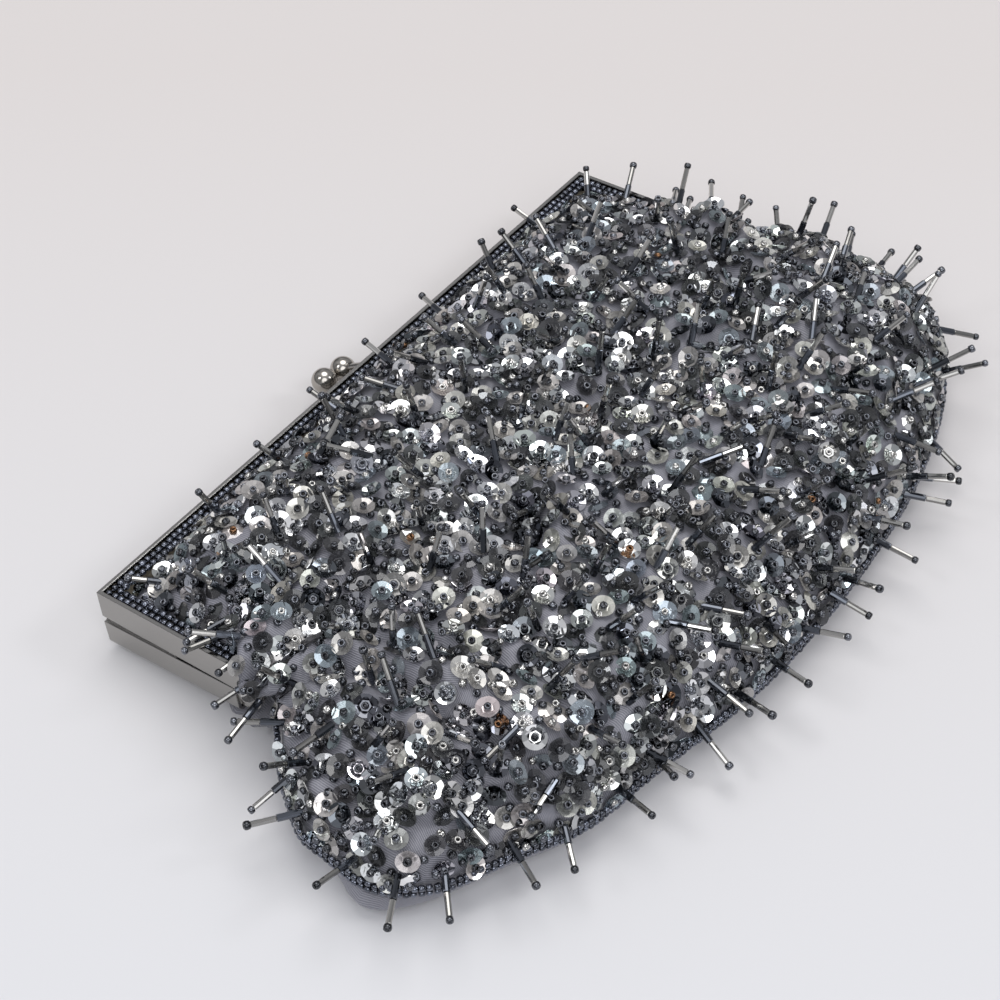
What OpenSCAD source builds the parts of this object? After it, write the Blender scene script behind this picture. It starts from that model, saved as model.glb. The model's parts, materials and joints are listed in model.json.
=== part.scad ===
// Kiss lock frame purse, shut and lying on its back, in millimetres.
// X runs along the frame's bar, Y from the bar down to the foot of the bag, Z up from the surface.
// The origin lies on that surface, below the middle of the hinge axis.

/* [Frame] */
// Width over the two side arms
frame_w = 180; // [150:1:230]
// Arm length, from the outside of the bar to the hinge axis
arm_len = 42; // [36:0.5:60]
// Height of each half's outer wall
wall_h = 7.2; // [6.6:0.1:9]
// Thickness of the metal
sheet_t = 0.9; // [0.7:0.05:1.1]
// Width of the channel, over its metal
channel_w = 6; // [5.8:0.1:8]
// Height of the front channel's inner wall
inner_wall_h = 2.6; // [1.5:0.1:3]
// Radius of the rear half's rolled outer edge
edge_r = 1.8; // [1:0.1:2.4]
// Gap between the two halves at the bar while the lock holds them
mouth_gap = 1.6; // [0.8:0.1:2.4]
// Gap between the two halves at the hinge
seat_gap = 0.2; // [0.1:0.05:0.5]
// Height of the bar's underside above the surface
bar_lift = 1; // [0.8:0.1:2]
// Height of the hinge axis above the surface
hinge_h = 14; // [12.5:0.1:16]
// Height of the locating lip inside the parting gap
lip_h = 0.7; // [0.3:0.05:0.75]

/* [Hinge] */
// Radius of the round ears at the arms' ends
ear_r = 3.4; // [3:0.1:4]
// Radius of the rivet's shank
rivet_r = 1; // [0.8:0.05:1.3]
// Radius of the rivet's heads
rivet_head_r = 1.9; // [1.7:0.05:2.4]
// Height of the rivet's heads
rivet_head_h = 0.6; // [0.4:0.05:0.9]
// Clearance around the shank and beside the ears
hinge_gap = 0.05; // [0.02:0.01:0.1]

/* [Lock] */
// Diameter of the lock's balls
ball_d = 6.4; // [5:0.1:7.5]
// Distance of the balls' centres from the bar's outer face
ball_reach = 9.5; // [8:0.1:12]
// Gap between the two balls, side by side
ball_gap = 0.4; // [0.3:0.05:0.8]
// Height by which each ball has passed the parting plane
ball_cross = 0.8; // [0:0.1:1.5]
// Radius of the stems
stem_r = 1.2; // [0.9:0.05:1.4]
// Radius of the stems' foot plates
foot_r = 2.4; // [2:0.1:2.8]
// Thickness of the stems' foot plates
foot_t = 0.7; // [0.4:0.05:1]
// Depth of the socket in each ball that takes its stem
socket_depth = 2; // [1:0.1:2.5]

/* [Bag] */
// Greatest width of the bag at its seam
bag_w = 214; // [200:1:280]
// Distance from the hinge axis to the bag's foot
bag_drop = 81; // [70:1:120]
// Height over the crown of the front panel
crown_h = 28; // [25:0.5:36]
// Height of the seam that joins the front and rear panels
seam_h = 8; // [7:0.1:9]
// Height of the seam where it starts beside the hinge
seam_start_h = 11.5; // [10:0.1:12.5]
// Distance over which the crown falls away at the sides
side_roll = 44; // [20:1:60]
// Distance over which the crown falls away at the bar
bar_roll = 26; // [12:1:40]
// Distance over which the crown falls away at the foot
foot_roll = 40; // [20:1:60]
// Distance over which the rear panel's edge rolls up to the seam
rear_roll = 11; // [6:0.5:20]
// Fullness of the bottom corners, where 2 is an ellipse
corner_power = 2.3; // [2:0.05:4]
// Distance from the hinge axis to the widest row
widest_y = 40; // [34:1:50]

/* [Layers] */
// Thickness of the outer satin with its backing
satin_t = 0.8; // [0.5:0.05:1.2]
// Thickness of the wadding behind the front satin
wadding_t = 1.8; // [1:0.1:3]
// Thickness of the stiffening sheet behind the rear satin
stiffener_t = 0.8; // [0.4:0.05:1.2]
// Thickness of the lining
lining_t = 0.5; // [0.4:0.05:0.7]
// Gap between one layer and the next
layer_gap = 0.1; // [0.05:0.01:0.2]
// Diameter of the cords that jam the fabric into the channels
cord_d = 3; // [2.6:0.1:3.2]

/* [Fold at the hinge] */
// Where the fold starts, above the hinge axis
fold_above = 12; // [10:0.5:16]
// Where the fold ends, below the hinge axis
fold_below = 17; // [15:0.5:24]
// Gap between the fold and the panels beside it
fold_gap = 0.4; // [0.2:0.05:1]

/* [Beadwork] */
// Diameter of the small beads in the rows on the frame and along the seam
row_bead_d = 1.65; // [1.4:0.05:2]
// Gap between neighbouring beads of a row
bead_gap = 0.1; // [0.05:0.01:1]
// Diameter of the beads on the sequins and at the spikes' ends
bead_d = 1.9; // [1.7:0.05:2.2]
// Length of one bugle bead
bugle_len = 5.6; // [4:0.1:7]
// Diameter of the dark bugle beads
dark_d = 1.7; // [1.4:0.05:2]
// Diameter of the silver-lined bugle beads
silver_d = 1.4; // [1.2:0.05:2]
// Bore of the bugle beads
bugle_bore = 0.7; // [0.5:0.05:0.9]
// Diameter of the beading thread
thread_d = 0.3; // [0.2:0.05:0.4]
// Distance between the spikes of a row
spike_pitch = 20; // [17:0.5:30]
// Rows of spikes on the lower front panel
lower_rows_of_spikes = 6; // [3:1:6]
// Rows of spikes on the upper front panel
upper_rows_of_spikes = 2; // [1:1:2]
// Diameter of the cupped sequins
sequin_d = 5; // [4:0.1:6]
// Thickness of the sequins
sequin_t = 0.3; // [0.2:0.05:0.5]

/* [Hidden] */
$fn = 48;

// Levels of the frame before it is pitched about the hinge axis
part_z = hinge_h - seat_gap / 2;
rear_base_z = part_z - wall_h;
front_base_z = part_z + seat_gap;
shut_tilt = atan(mouth_gap / arm_len);
// Slope of the rear half, from the hinge down to the bar that all but touches the surface
rear_depth = hinge_h - rear_base_z;
frame_pitch = asin((hinge_h - bar_lift) / norm([arm_len, rear_depth])) - atan(rear_depth / arm_len);
bar_y = -arm_len;
arm_end_y = -(ear_r + 0.6);
half_frame = frame_w / 2;
joggle_len = 6;
tongue_len = 5;
eps = 0.01;

// Lock
ball_r = ball_d / 2;
ball_x = ball_r + ball_gap / 2;
ball_y = bar_y - ball_reach;
ball_mid_z = part_z + mouth_gap / 2;
foot_z_off = 2;

// Beads and the seat of the upper panel's edge
bead_r = bead_d / 2;
row_r = row_bead_d / 2;
row_gap = 0.15;
row_pitch = row_bead_d + bead_gap;
row_outer_u = sheet_t + row_gap + row_r;
row_inner_u = row_outer_u + row_bead_d + row_gap / 2;
row_z = front_base_z + wall_h - row_r;
panel_u = row_inner_u + row_r + row_gap;
cord_r = cord_d / 2;
cord_u = sheet_t + row_gap + cord_r;

// Edges of the soft panels: the front one stands on its channel, the rear one is tucked into its own
edge_clear = 0.3;
tuck = 1.5;
top_y = (bar_y + panel_u) * cos(frame_pitch) - panel_u * sin(frame_pitch);
top_w = half_frame - panel_u;
rear_top_y = (bar_y + channel_w + edge_clear) * cos(frame_pitch) + rear_depth * sin(frame_pitch);
rear_top_w = half_frame - channel_w - edge_clear;
flare_y = ear_r + 1;
flare_len = 26;
foot_y = bag_drop;
half_bag = bag_w / 2;
seam_gap = 0.3;
panel_rise = seat_gap / 2 + inner_wall_h + edge_clear;
rear_sink = seat_gap / 2 + sheet_t + tuck;
seat_drop_from = -6;
seat_drop_to = 9;
seam_fall_len = 24;
last_row_angle = 80;

function clamp01(t) = min(1, max(0, t));
function smooth(t) = let (c = clamp01(t)) c * c * (3 - 2 * c);
function mix(a, b, t) = a + (b - a) * t;
// Height share of a rolled edge, upright where it starts and level where it ends
function rolled(q) = sqrt(1 - pow(1 - clamp01(q), 2));

// Half width of the bag at a row: straight in the frame, flared below it, a full curve at the foot
function bag_half(y, narrow) =
    y < flare_y ? mix(narrow, top_w, smooth((y - arm_end_y) / (flare_y - arm_end_y)))
    : y < widest_y ? mix(top_w, half_bag, 1 - pow(1 - clamp01((y - flare_y) / flare_len), 2))
    : half_bag * pow(max(0, 1 - pow((y - widest_y) / (foot_y - widest_y), corner_power)), 1 / corner_power);

// Rows of each panel, closer together where the surface turns
function even_rows(from, to, count) = [for (i = [0:count]) mix(from, to, i / count)];
function bar_rows(from, to, count) = [for (i = [0:count]) mix(from, to, 1 - cos(90 * i / count))];
function foot_rows(count) = [
    for (i = [1:count])
        mix(widest_y, foot_y, pow(sin(last_row_angle * i / count), 2 / corner_power))
];
upper_rows = bar_rows(top_y, -fold_above, 8);
fold_rows = even_rows(-fold_above + fold_gap, fold_below - fold_gap, 8);
lower_rows = concat(even_rows(fold_below, widest_y, 4), foot_rows(9));
rear_rows = concat(bar_rows(rear_top_y, rear_top_y + rear_roll, 4),
                   even_rows(rear_top_y + rear_roll + 5, widest_y, 9), foot_rows(11));
front_columns = 26;
rear_edges = [0, 0.07, 0.24, 0.52, 1] * rear_roll;
rear_columns = 2 * len(rear_edges) - 1;

// Share of the half width at a column: spread over the front, gathered at the edges of the flat back
function front_share(j) = sin(90 * (2 * j / front_columns - 1));
function rear_share(j, half) =
    let (k = min(j, rear_columns - j))
    (j < len(rear_edges) ? -1 : 1) * (1 - rear_edges[k] / half);

// Height of the seam, which falls away from the hinge
function seam_z(y) = mix(seam_start_h, seam_h, smooth((y - flare_y) / seam_fall_len));
// Height of a point of the pitched frame, so far above or below its parting plane
function on_frame(y, rise) = hinge_h + y * tan(frame_pitch) + rise / cos(frame_pitch);
// Height of a panel's edge, on its channel above the hinge and at the seam below it
function seat_drop(y) = smooth((y - seat_drop_from) / (seat_drop_to - seat_drop_from));
function front_edge_z(y) =
    mix(on_frame(y, panel_rise + max(0, -y) * tan(shut_tilt)), seam_z(y) + seam_gap / 2, seat_drop(y));
function rear_edge_z(y) = mix(on_frame(y, -rear_sink), seam_z(y) - seam_gap / 2, seat_drop(y));

// A row's place once the layer lies a depth inside the outermost one
function inset_y(y, first_y, depth) =
    let (middle = (first_y + foot_y) / 2)
    middle + (y - middle) * (1 - depth / (foot_y - middle));

// Points of the front panel and of the rear one, at a share s of the half width and a row y
function front_point(s, y, depth) =
    let (half = bag_half(y, top_w))
    let (fall = rolled((1 - abs(s)) * half / side_roll) * rolled((y - top_y) / bar_roll)
                * rolled((foot_y - y) / foot_roll))
    [s * (half - depth), inset_y(y, top_y, depth), mix(front_edge_z(y), crown_h - depth, fall)];
function rear_point(s, y, depth) =
    let (half = bag_half(y, rear_top_w))
    let (fall = rolled((1 - abs(s)) * half / rear_roll) * rolled((y - rear_top_y) / rear_roll)
                * rolled((foot_y - y) / rear_roll))
    [s * (half - depth), inset_y(y, rear_top_y, depth), mix(rear_edge_z(y), depth, fall)];

// Two triangles for the cell with corners a, b, c and d in turn, cut from a to c
function cell(a, b, c, d, flip) = flip ? [[a, c, b], [a, d, c]] : [[a, b, c], [a, c, d]];
// The same cell on the front, and cut along its other diagonal on the rear
function side_cell(a, b, c, d, flip, is_front) = is_front ? cell(a, b, c, d, flip) : cell(b, c, d, a, flip);

// A layer of the bag: two grids of points, joined round their border
module layer(rows, depth, thick, is_front) {
    nr = len(rows);
    nc = (is_front ? front_columns : rear_columns) + 1;
    n = nr * nc;
    points = [
        for (d = [depth, depth + thick])
            for (y = rows)
                for (j = [0:nc - 1])
                    is_front ? front_point(front_share(j), y, d)
                    : rear_point(rear_share(j, bag_half(y, rear_top_w)), y, d)
    ];
    faces = [
        for (i = [0:nr - 2])
            for (j = [0:nc - 2])
                for (side = [0, 1])
                    let (o = side * n + i * nc + j)
                        each side_cell(o, o + 1, o + nc + 1, o + nc, is_front == (side == 0), is_front),
        for (i = [0:nr - 2])
            for (j = [0, nc - 1])
                let (o = i * nc + j)
                    each side_cell(o, o + nc, o + nc + n, o + n, is_front == (j == 0), is_front),
        for (j = [0:nc - 2])
            for (i = [0, nr - 1])
                let (o = i * nc + j)
                    each side_cell(o, o + n, o + n + 1, o + 1, is_front == (i == 0), is_front)
    ];
    polyhedron(points, faces);
}

// A U in plan that follows the bar and both arms, between two distances from the outer face
module u_plan(from_u, to_u, end_y) {
    difference() {
        translate([-half_frame + from_u, bar_y + from_u])
            square([frame_w - 2 * from_u, end_y - bar_y - from_u]);
        translate([-half_frame + to_u, bar_y + to_u])
            square([frame_w - 2 * to_u, end_y - bar_y + 1]);
    }
}

module u_wall(from_u, to_u, from_z, to_z, end_y) {
    translate([0, 0, from_z])
        linear_extrude(to_z - from_z)
            u_plan(from_u, to_u, end_y);
}

// Cuts the rolled edge along one straight side, with its round centre on the x axis
module edge_cutter(length) {
    rotate([0, 90, 0])
        translate([0, 0, -length / 2])
            difference() {
                translate([0, -edge_r - 1, 0])
                    cube([edge_r + 1, edge_r + 1, length]);
                translate([0, 0, -1])
                    cylinder(r = edge_r, h = length + 2);
            }
}

// The hinge axis, with a child laid along it from the given distance outward
module on_hinge(side, from_x) {
    translate([side * from_x, 0, hinge_h])
        rotate([0, side * 90, 0])
            children();
}

// Turns a child about the hinge axis
module about_hinge(angle) {
    translate([0, 0, hinge_h])
        rotate([angle, 0, 0])
            translate([0, 0, -hinge_h])
                children();
}

// Places a child that belongs to the rear half, which slopes down to the bar
module pitched() {
    about_hinge(frame_pitch)
        children();
}

// Places a child that belongs to the front half, opened from the rear one by the parting gap
module shut() {
    about_hinge(frame_pitch - shut_tilt)
        children();
}

ear_outer_x = half_frame - sheet_t;
ear_inner_x = half_frame - 2 * sheet_t - hinge_gap;

module rear_frame() {
    color([0.33, 0.33, 0.35])
        pitched()
            difference() {
                union() {
                    u_wall(0, sheet_t, rear_base_z, part_z, arm_end_y);
                    u_wall(0, channel_w, rear_base_z, rear_base_z + sheet_t, arm_end_y);
                    u_wall(0, channel_w, part_z - sheet_t, part_z, arm_end_y);
                    locating_lip();
                    for (side = [-1, 1]) {
                        on_hinge(side, ear_inner_x)
                            cylinder(r = ear_r, h = sheet_t);
                        rear_web(side);
                    }
                }
                translate([0, bar_y + edge_r, rear_base_z + edge_r])
                    edge_cutter(frame_w + 2);
                for (side = [-1, 1])
                    translate([side * (half_frame - edge_r), bar_y / 2, rear_base_z + edge_r])
                        rotate([0, 0, side * 90])
                            edge_cutter(arm_len + 20);
                for (side = [-1, 1])
                    on_hinge(side, ear_inner_x - 1)
                        cylinder(r = rivet_r + hinge_gap, h = sheet_t + 2);
            }
}

// Web that steps the rear arm inward to its ear
module rear_web(side) {
    low = rear_base_z + edge_r;
    x0 = min(side * ear_inner_x, side * (ear_inner_x + sheet_t));
    translate([x0, arm_end_y - joggle_len, low])
        cube([sheet_t, joggle_len - arm_end_y - ear_r * 0.6, part_z - low]);
    x1 = min(side * ear_inner_x, side * half_frame);
    translate([x1, arm_end_y - joggle_len, low])
        cube([half_frame - ear_inner_x, joggle_len, part_z - low]);
}

// Lip that stands in the parting gap and runs out where the gap closes
module locating_lip() {
    difference() {
        u_wall(sheet_t / 2, sheet_t, part_z - eps, part_z + lip_h, -arm_len / 2);
        about_hinge(-shut_tilt)
            translate([-frame_w, -2 * arm_len, hinge_h - seat_gap / 2])
                cube([2 * frame_w, 3 * arm_len, 4 * wall_h]);
    }
}

module front_frame() {
    color([0.36, 0.36, 0.38])
        shut()
            difference() {
                union() {
                    u_wall(0, sheet_t, front_base_z, front_base_z + wall_h, arm_end_y);
                    u_wall(0, channel_w, front_base_z, front_base_z + sheet_t, arm_end_y);
                    u_wall(channel_w - sheet_t, channel_w, front_base_z,
                           front_base_z + inner_wall_h, arm_end_y);
                    for (side = [-1, 1]) {
                        on_hinge(side, ear_outer_x)
                            cylinder(r = ear_r, h = sheet_t);
                        front_tongue(side);
                    }
                }
                for (side = [-1, 1])
                    on_hinge(side, ear_outer_x - 1)
                        cylinder(r = rivet_r + hinge_gap, h = sheet_t + 2);
            }
}

// The tapered end of a front arm, down to its ear
module front_tongue(side) {
    x0 = min(side * ear_outer_x, side * half_frame);
    translate([x0, 0, 0])
        rotate([90, 0, 90])
            linear_extrude(sheet_t)
                polygon([[arm_end_y - tongue_len, front_base_z],
                         [arm_end_y - tongue_len, front_base_z + wall_h],
                         [arm_end_y, front_base_z + wall_h],
                         [0, hinge_h + ear_r],
                         [0, hinge_h],
                         [arm_end_y, front_base_z]]);
}

// Both rivets, each a shank with a domed head outside and a flat one inside
module hinge_rivets() {
    color([0.42, 0.42, 0.44])
        for (side = [-1, 1]) {
            inner_x = ear_inner_x - hinge_gap;
            outer_x = half_frame + hinge_gap;
            on_hinge(side, inner_x - rivet_head_h)
                cylinder(r = rivet_head_r, h = rivet_head_h);
            on_hinge(side, inner_x - eps)
                cylinder(r = rivet_r, h = outer_x - inner_x + 2 * eps);
            on_hinge(side, outer_x)
                rivet_dome();
        }
}

module rivet_dome() {
    dome_r = (rivet_head_r * rivet_head_r + rivet_head_h * rivet_head_h) / (2 * rivet_head_h);
    intersection() {
        cylinder(r = rivet_head_r, h = rivet_head_h);
        translate([0, 0, rivet_head_h - dome_r])
            sphere(r = dome_r, $fn = 96);
    }
}

// A stem from its foot plate on the bar to its socket in the ball, in the plane of the ball
module lock_stem(x, foot_z, z) {
    rise = z - foot_z;
    run = ball_reach - foot_t;
    length = sqrt(run * run + rise * rise) - (ball_r - socket_depth);
    translate([x, bar_y, foot_z])
        rotate([90, 0, 0])
            cylinder(r = foot_r, h = foot_t);
    difference() {
        translate([x, bar_y - foot_t / 2, foot_z])
            rotate([90 - atan2(rise, run + foot_t / 2), 0, 0])
                cylinder(r = stem_r, h = length);
        translate([x - foot_r, bar_y - foot_t / 4, foot_z - foot_r])
            cube([2 * foot_r, foot_r, 2 * foot_r]);
    }
}

module lock_ball(x, foot_z, z) {
    rise = z - foot_z;
    run = ball_reach - foot_t;
    difference() {
        translate([x, ball_y, z])
            sphere(r = ball_r, $fn = 96);
        translate([x, bar_y - foot_t / 2, foot_z])
            rotate([90 - atan2(rise, run + foot_t / 2), 0, 0])
                cylinder(r = stem_r + hinge_gap, h = sqrt(run * run + rise * rise) - ball_r + socket_depth);
    }
}

rear_foot_z = part_z - foot_r - foot_z_off / 2;
front_foot_z = front_base_z + foot_r + foot_z_off / 2;

module rear_lock_stem() {
    color([0.4, 0.4, 0.42])
        pitched()
            lock_stem(ball_x, rear_foot_z, ball_mid_z + ball_cross);
}

module rear_lock_ball() {
    color([0.45, 0.44, 0.42])
        pitched()
            lock_ball(ball_x, rear_foot_z, ball_mid_z + ball_cross);
}

module front_lock_stem() {
    color([0.4, 0.4, 0.42])
        shut()
            lock_stem(-ball_x, front_foot_z, ball_mid_z - mouth_gap - ball_cross);
}

module front_lock_ball() {
    color([0.45, 0.44, 0.42])
        shut()
            lock_ball(-ball_x, front_foot_z, ball_mid_z - mouth_gap - ball_cross);
}

// Cord along the bar and both arms, with round corners
module channel_cord(z) {
    reach_x = half_frame - cord_u;
    reach_y = bar_y + cord_u;
    translate([-reach_x, reach_y, z])
        rotate([0, 90, 0])
            cylinder(r = cord_r, h = 2 * reach_x);
    for (side = [-1, 1])
        translate([side * reach_x, reach_y, z]) {
            sphere(r = cord_r);
            rotate([-90, 0, 0])
                cylinder(r = cord_r, h = arm_end_y - joggle_len - reach_y - row_gap);
        }
}

module rear_channel_cord() {
    color([0.75, 0.7, 0.6])
        pitched()
            channel_cord((rear_base_z + part_z) / 2);
}

module front_channel_cord() {
    color([0.75, 0.7, 0.6])
        shut()
            channel_cord(front_base_z + sheet_t + row_gap + cord_r);
}

module rear_panel() {
    color([0.56, 0.56, 0.62])
        layer(rear_rows, 0, satin_t, false);
}

module rear_stiffener() {
    color([0.85, 0.83, 0.78])
        layer(rear_rows, satin_t + layer_gap, stiffener_t, false);
}

module rear_lining() {
    color([0.3, 0.3, 0.34])
        layer(rear_rows, satin_t + stiffener_t + 2 * layer_gap, lining_t, false);
}

module front_panel_lower() {
    color([0.56, 0.56, 0.62])
        layer(lower_rows, 0, satin_t, true);
}

module front_wadding_lower() {
    color([0.9, 0.9, 0.88])
        layer(lower_rows, satin_t + layer_gap, wadding_t, true);
}

module front_lining_lower() {
    color([0.3, 0.3, 0.34])
        layer(lower_rows, satin_t + wadding_t + 2 * layer_gap, lining_t, true);
}

module front_panel_fold() {
    color([0.52, 0.52, 0.58])
        layer(fold_rows, 0, satin_t, true);
}

module front_lining_fold() {
    color([0.3, 0.3, 0.34])
        layer(fold_rows, satin_t + wadding_t + 2 * layer_gap, lining_t, true);
}

module front_panel_upper() {
    color([0.56, 0.56, 0.62])
        layer(upper_rows, 0, satin_t, true);
}

module front_wadding_upper() {
    color([0.9, 0.9, 0.88])
        layer(upper_rows, satin_t + layer_gap, wadding_t, true);
}

module front_lining_upper() {
    color([0.3, 0.3, 0.34])
        layer(upper_rows, satin_t + wadding_t + 2 * layer_gap, lining_t, true);
}

module row_bead(place) {
    translate(place)
        sphere(r = row_r);
}

// A row of beads in the front channel, along the bar and both arms
module frame_beads(u) {
    bar_count = floor((frame_w - 2 * u) / row_pitch);
    arm_count = floor((arm_end_y - bar_y - u) / row_pitch);
    step = (frame_w - 2 * u) / bar_count;
    shut()
        union() {
            for (i = [0:bar_count])
                row_bead([-half_frame + u + i * step, bar_y + u, row_z]);
            for (side = [-1, 1])
                for (i = [1:arm_count])
                    row_bead([side * (half_frame - u), bar_y + u + i * row_pitch, row_z]);
        }
}

module frame_beads_outer() {
    color([0.13, 0.14, 0.2])
        frame_beads(row_outer_u);
}

module frame_beads_inner() {
    color([0.13, 0.14, 0.2])
        frame_beads(row_inner_u);
}

// Rows of beadwork on each panel, clear of the fold, and the spikes' and sequins' places in them
crown_y = 25;
lean_run = 60;
bead_edge = 5;
reach = ceil(half_bag / spike_pitch) + 1;
lower_from = fold_below + bead_edge + 1;
lower_to = foot_y - bead_edge;
upper_from = top_y + bead_edge;
upper_to = -fold_above - 2 * bead_edge;
lower_spikes = places(lower_from, lower_to, lower_rows_of_spikes, 0);
upper_spikes = places(upper_from, upper_to, upper_rows_of_spikes, 0);
lower_sequins = sequin_places(lower_from, lower_to, lower_rows_of_spikes);
upper_sequins = sequin_places(upper_from, upper_to, upper_rows_of_spikes);

// The seam's outline from the right hinge round the foot to the left one
seam_from = flare_y + 2;
side_steps = 12;
foot_steps = 60;
turn = 2 / corner_power;
right_outline = concat(
    [for (i = [0:side_steps - 1])
        let (y = mix(seam_from, widest_y, i / side_steps))
            [bag_half(y, top_w), y]],
    [for (a = [0:90 / foot_steps:90])
        [half_bag * pow(cos(a), turn), mix(widest_y, foot_y, pow(sin(a), turn))]]
);
left_outline = [for (i = [len(right_outline) - 2:-1:0]) [-right_outline[i].x, right_outline[i].y]];
outline = concat(right_outline, left_outline);
outline_run = [
    for (i = 0, run = 0; i < len(outline);
         run = run + (i + 1 < len(outline) ? norm(outline[i + 1] - outline[i]) : 0), i = i + 1) run
];
outline_x = [for (i = [0:len(outline) - 1]) [outline_run[i], outline[i].x]];
outline_y = [for (i = [0:len(outline) - 1]) [outline_run[i], outline[i].y]];
outline_len = outline_run[len(outline) - 1];
function on_outline(run) = [lookup(run, outline_x), lookup(run, outline_y)];
function outline_normal(run) =
    let (d = on_outline(run + 1) - on_outline(run - 1))
    [d.y, -d.x] / norm(d);

// A row of beads along the seam, a distance outside it and above it
module seam_beads(out, up) {
    count = floor(outline_len / row_pitch) - 2;
    for (i = [1:count]) {
        run = i * outline_len / (count + 1);
        at = on_outline(run) + out * outline_normal(run);
        row_bead([at.x, at.y, seam_z(at.y) + up]);
    }
}

module seam_beads_outer() {
    color([0.2, 0.2, 0.22])
        seam_beads(row_r + row_gap, 0);
}

module seam_beads_inner() {
    color([0.2, 0.2, 0.22])
        seam_beads(row_r + row_gap, row_bead_d + row_gap);
}

// Places for beadwork in staggered rows, as [share of the half width, row, count], shifted by a step
function places(from, to, rows, shift) = [
    for (r = [0:rows - 1])
        let (y = rows > 1 ? mix(from, to, r / (rows - 1)) : (from + to) / 2)
        let (half = bag_half(y, top_w))
            for (c = [-reach:reach])
                let (x = (c + shift + (r % 2) / 2) * spike_pitch)
                    if (abs(x) < half - bead_edge) [x / half, y, 20 * r + c]
];

// Places for sequins: midway between the spikes of each row, and twice as many between each two rows
function sequin_places(from, to, rows) =
    let (half_row = (to - from) / max(1, rows - 1) / 2)
    concat(places(from, to, rows, 0.5),
           [for (shift = [0.25, 0.75])
               if (rows > 1)
                   for (place = places(from + half_row, to - half_row, rows - 1, shift)) place]);

// Outward normal of the front panel
function front_normal(s, y) =
    let (du = front_point(min(1, s + 0.01), y, 0) - front_point(s - 0.01, y, 0))
    let (dv = front_point(s, y + 0.2, 0) - front_point(s, y - 0.2, 0))
    let (n = cross(du, dv))
    n / norm(n);

// Turns a child's Z axis onto a direction
module aim(dir) {
    rotate([0, acos(dir.z / norm(dir)), atan2(dir.y, dir.x)])
        children();
}

// Direction of a spike: leant outward from the crown, more near the edge
function spike_dir(place) =
    let (n = front_normal(place[0], place[1]))
    let (away = [place[0] * 1.2, (place[1] - crown_y) / lean_run, 0])
    let (stray = 0.3 * [cos(place[2] * 137.5), sin(place[2] * 137.5), 0])
    let (d = n + 0.9 * away + stray)
    d / norm(d);

// One piece of every spike: the near bugle, the far one, the stop bead or the thread
module spikes(spots, piece) {
    start = dark_d / 2 + row_gap;
    for (place = spots) {
        n = front_normal(place[0], place[1]);
        dir = spike_dir(place);
        root = (start - row_gap) / (n * dir);
        translate(front_point(place[0], place[1], 0) + start * n)
            aim(dir) {
                if (piece == "near")
                    bugle(dark_d);
                if (piece == "far")
                    translate([0, 0, bugle_len + row_gap / 2])
                        bugle(silver_d);
                if (piece == "stop")
                    translate([0, 0, 2 * bugle_len + row_gap + bead_r])
                        sphere(r = bead_r);
                if (piece == "thread")
                    translate([0, 0, -root])
                        cylinder(d = thread_d, h = root + 2 * bugle_len + row_gap / 2);
            }
    }
}

module bugle(d) {
    difference() {
        cylinder(d = d, h = bugle_len);
        translate([0, 0, -1])
            cylinder(d = bugle_bore, h = bugle_len + 2);
    }
}

// One piece of every sequin's set: the disc, lying on the panel, or the bead that holds it
module sequins(spots, piece) {
    for (place = spots) {
        n = front_normal(place[0], place[1]);
        translate(front_point(place[0], place[1], 0) + row_gap * n)
            aim(n) {
                if (piece == "disc")
                    difference() {
                        cylinder(d = sequin_d, h = sequin_t);
                        translate([0, 0, -1])
                            cylinder(d = bugle_bore, h = sequin_t + 2);
                    }
                if (piece == "bead")
                    translate([0, 0, sequin_t + layer_gap + bead_r])
                        sphere(r = bead_r);
            }
    }
}

module lower_bugles_dark() {
    color([0.16, 0.17, 0.2])
        spikes(lower_spikes, "near");
}

module lower_bugles_silver() {
    color([0.6, 0.6, 0.58])
        spikes(lower_spikes, "far");
}

module lower_stop_beads() {
    color([0.2, 0.2, 0.23])
        spikes(lower_spikes, "stop");
}

module lower_threads() {
    color([0.7, 0.7, 0.72])
        spikes(lower_spikes, "thread");
}

module upper_bugles_dark() {
    color([0.16, 0.17, 0.2])
        spikes(upper_spikes, "near");
}

module upper_bugles_silver() {
    color([0.6, 0.6, 0.58])
        spikes(upper_spikes, "far");
}

module upper_stop_beads() {
    color([0.2, 0.2, 0.23])
        spikes(upper_spikes, "stop");
}

module upper_threads() {
    color([0.7, 0.7, 0.72])
        spikes(upper_spikes, "thread");
}

module lower_sequins_field() {
    color([0.62, 0.62, 0.6])
        sequins(lower_sequins, "disc");
}

module lower_sequin_beads() {
    color([0.2, 0.2, 0.23])
        sequins(lower_sequins, "bead");
}

module upper_sequins_field() {
    color([0.62, 0.62, 0.6])
        sequins(upper_sequins, "disc");
}

module upper_sequin_beads() {
    color([0.2, 0.2, 0.23])
        sequins(upper_sequins, "bead");
}

rear_frame();
front_frame();
hinge_rivets();
rear_lock_stem();
rear_lock_ball();
front_lock_stem();
front_lock_ball();
rear_channel_cord();
front_channel_cord();
rear_panel();
rear_stiffener();
rear_lining();
front_panel_lower();
front_wadding_lower();
front_lining_lower();
front_panel_fold();
front_lining_fold();
front_panel_upper();
front_wadding_upper();
front_lining_upper();
frame_beads_outer();
frame_beads_inner();
seam_beads_outer();
seam_beads_inner();
lower_bugles_dark();
lower_bugles_silver();
lower_stop_beads();
lower_threads();
upper_bugles_dark();
upper_bugles_silver();
upper_stop_beads();
upper_threads();
lower_sequins_field();
lower_sequin_beads();
upper_sequins_field();
upper_sequin_beads();
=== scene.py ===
import json
import math

import bpy
import numpy as np
from mathutils import Matrix, Vector


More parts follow.
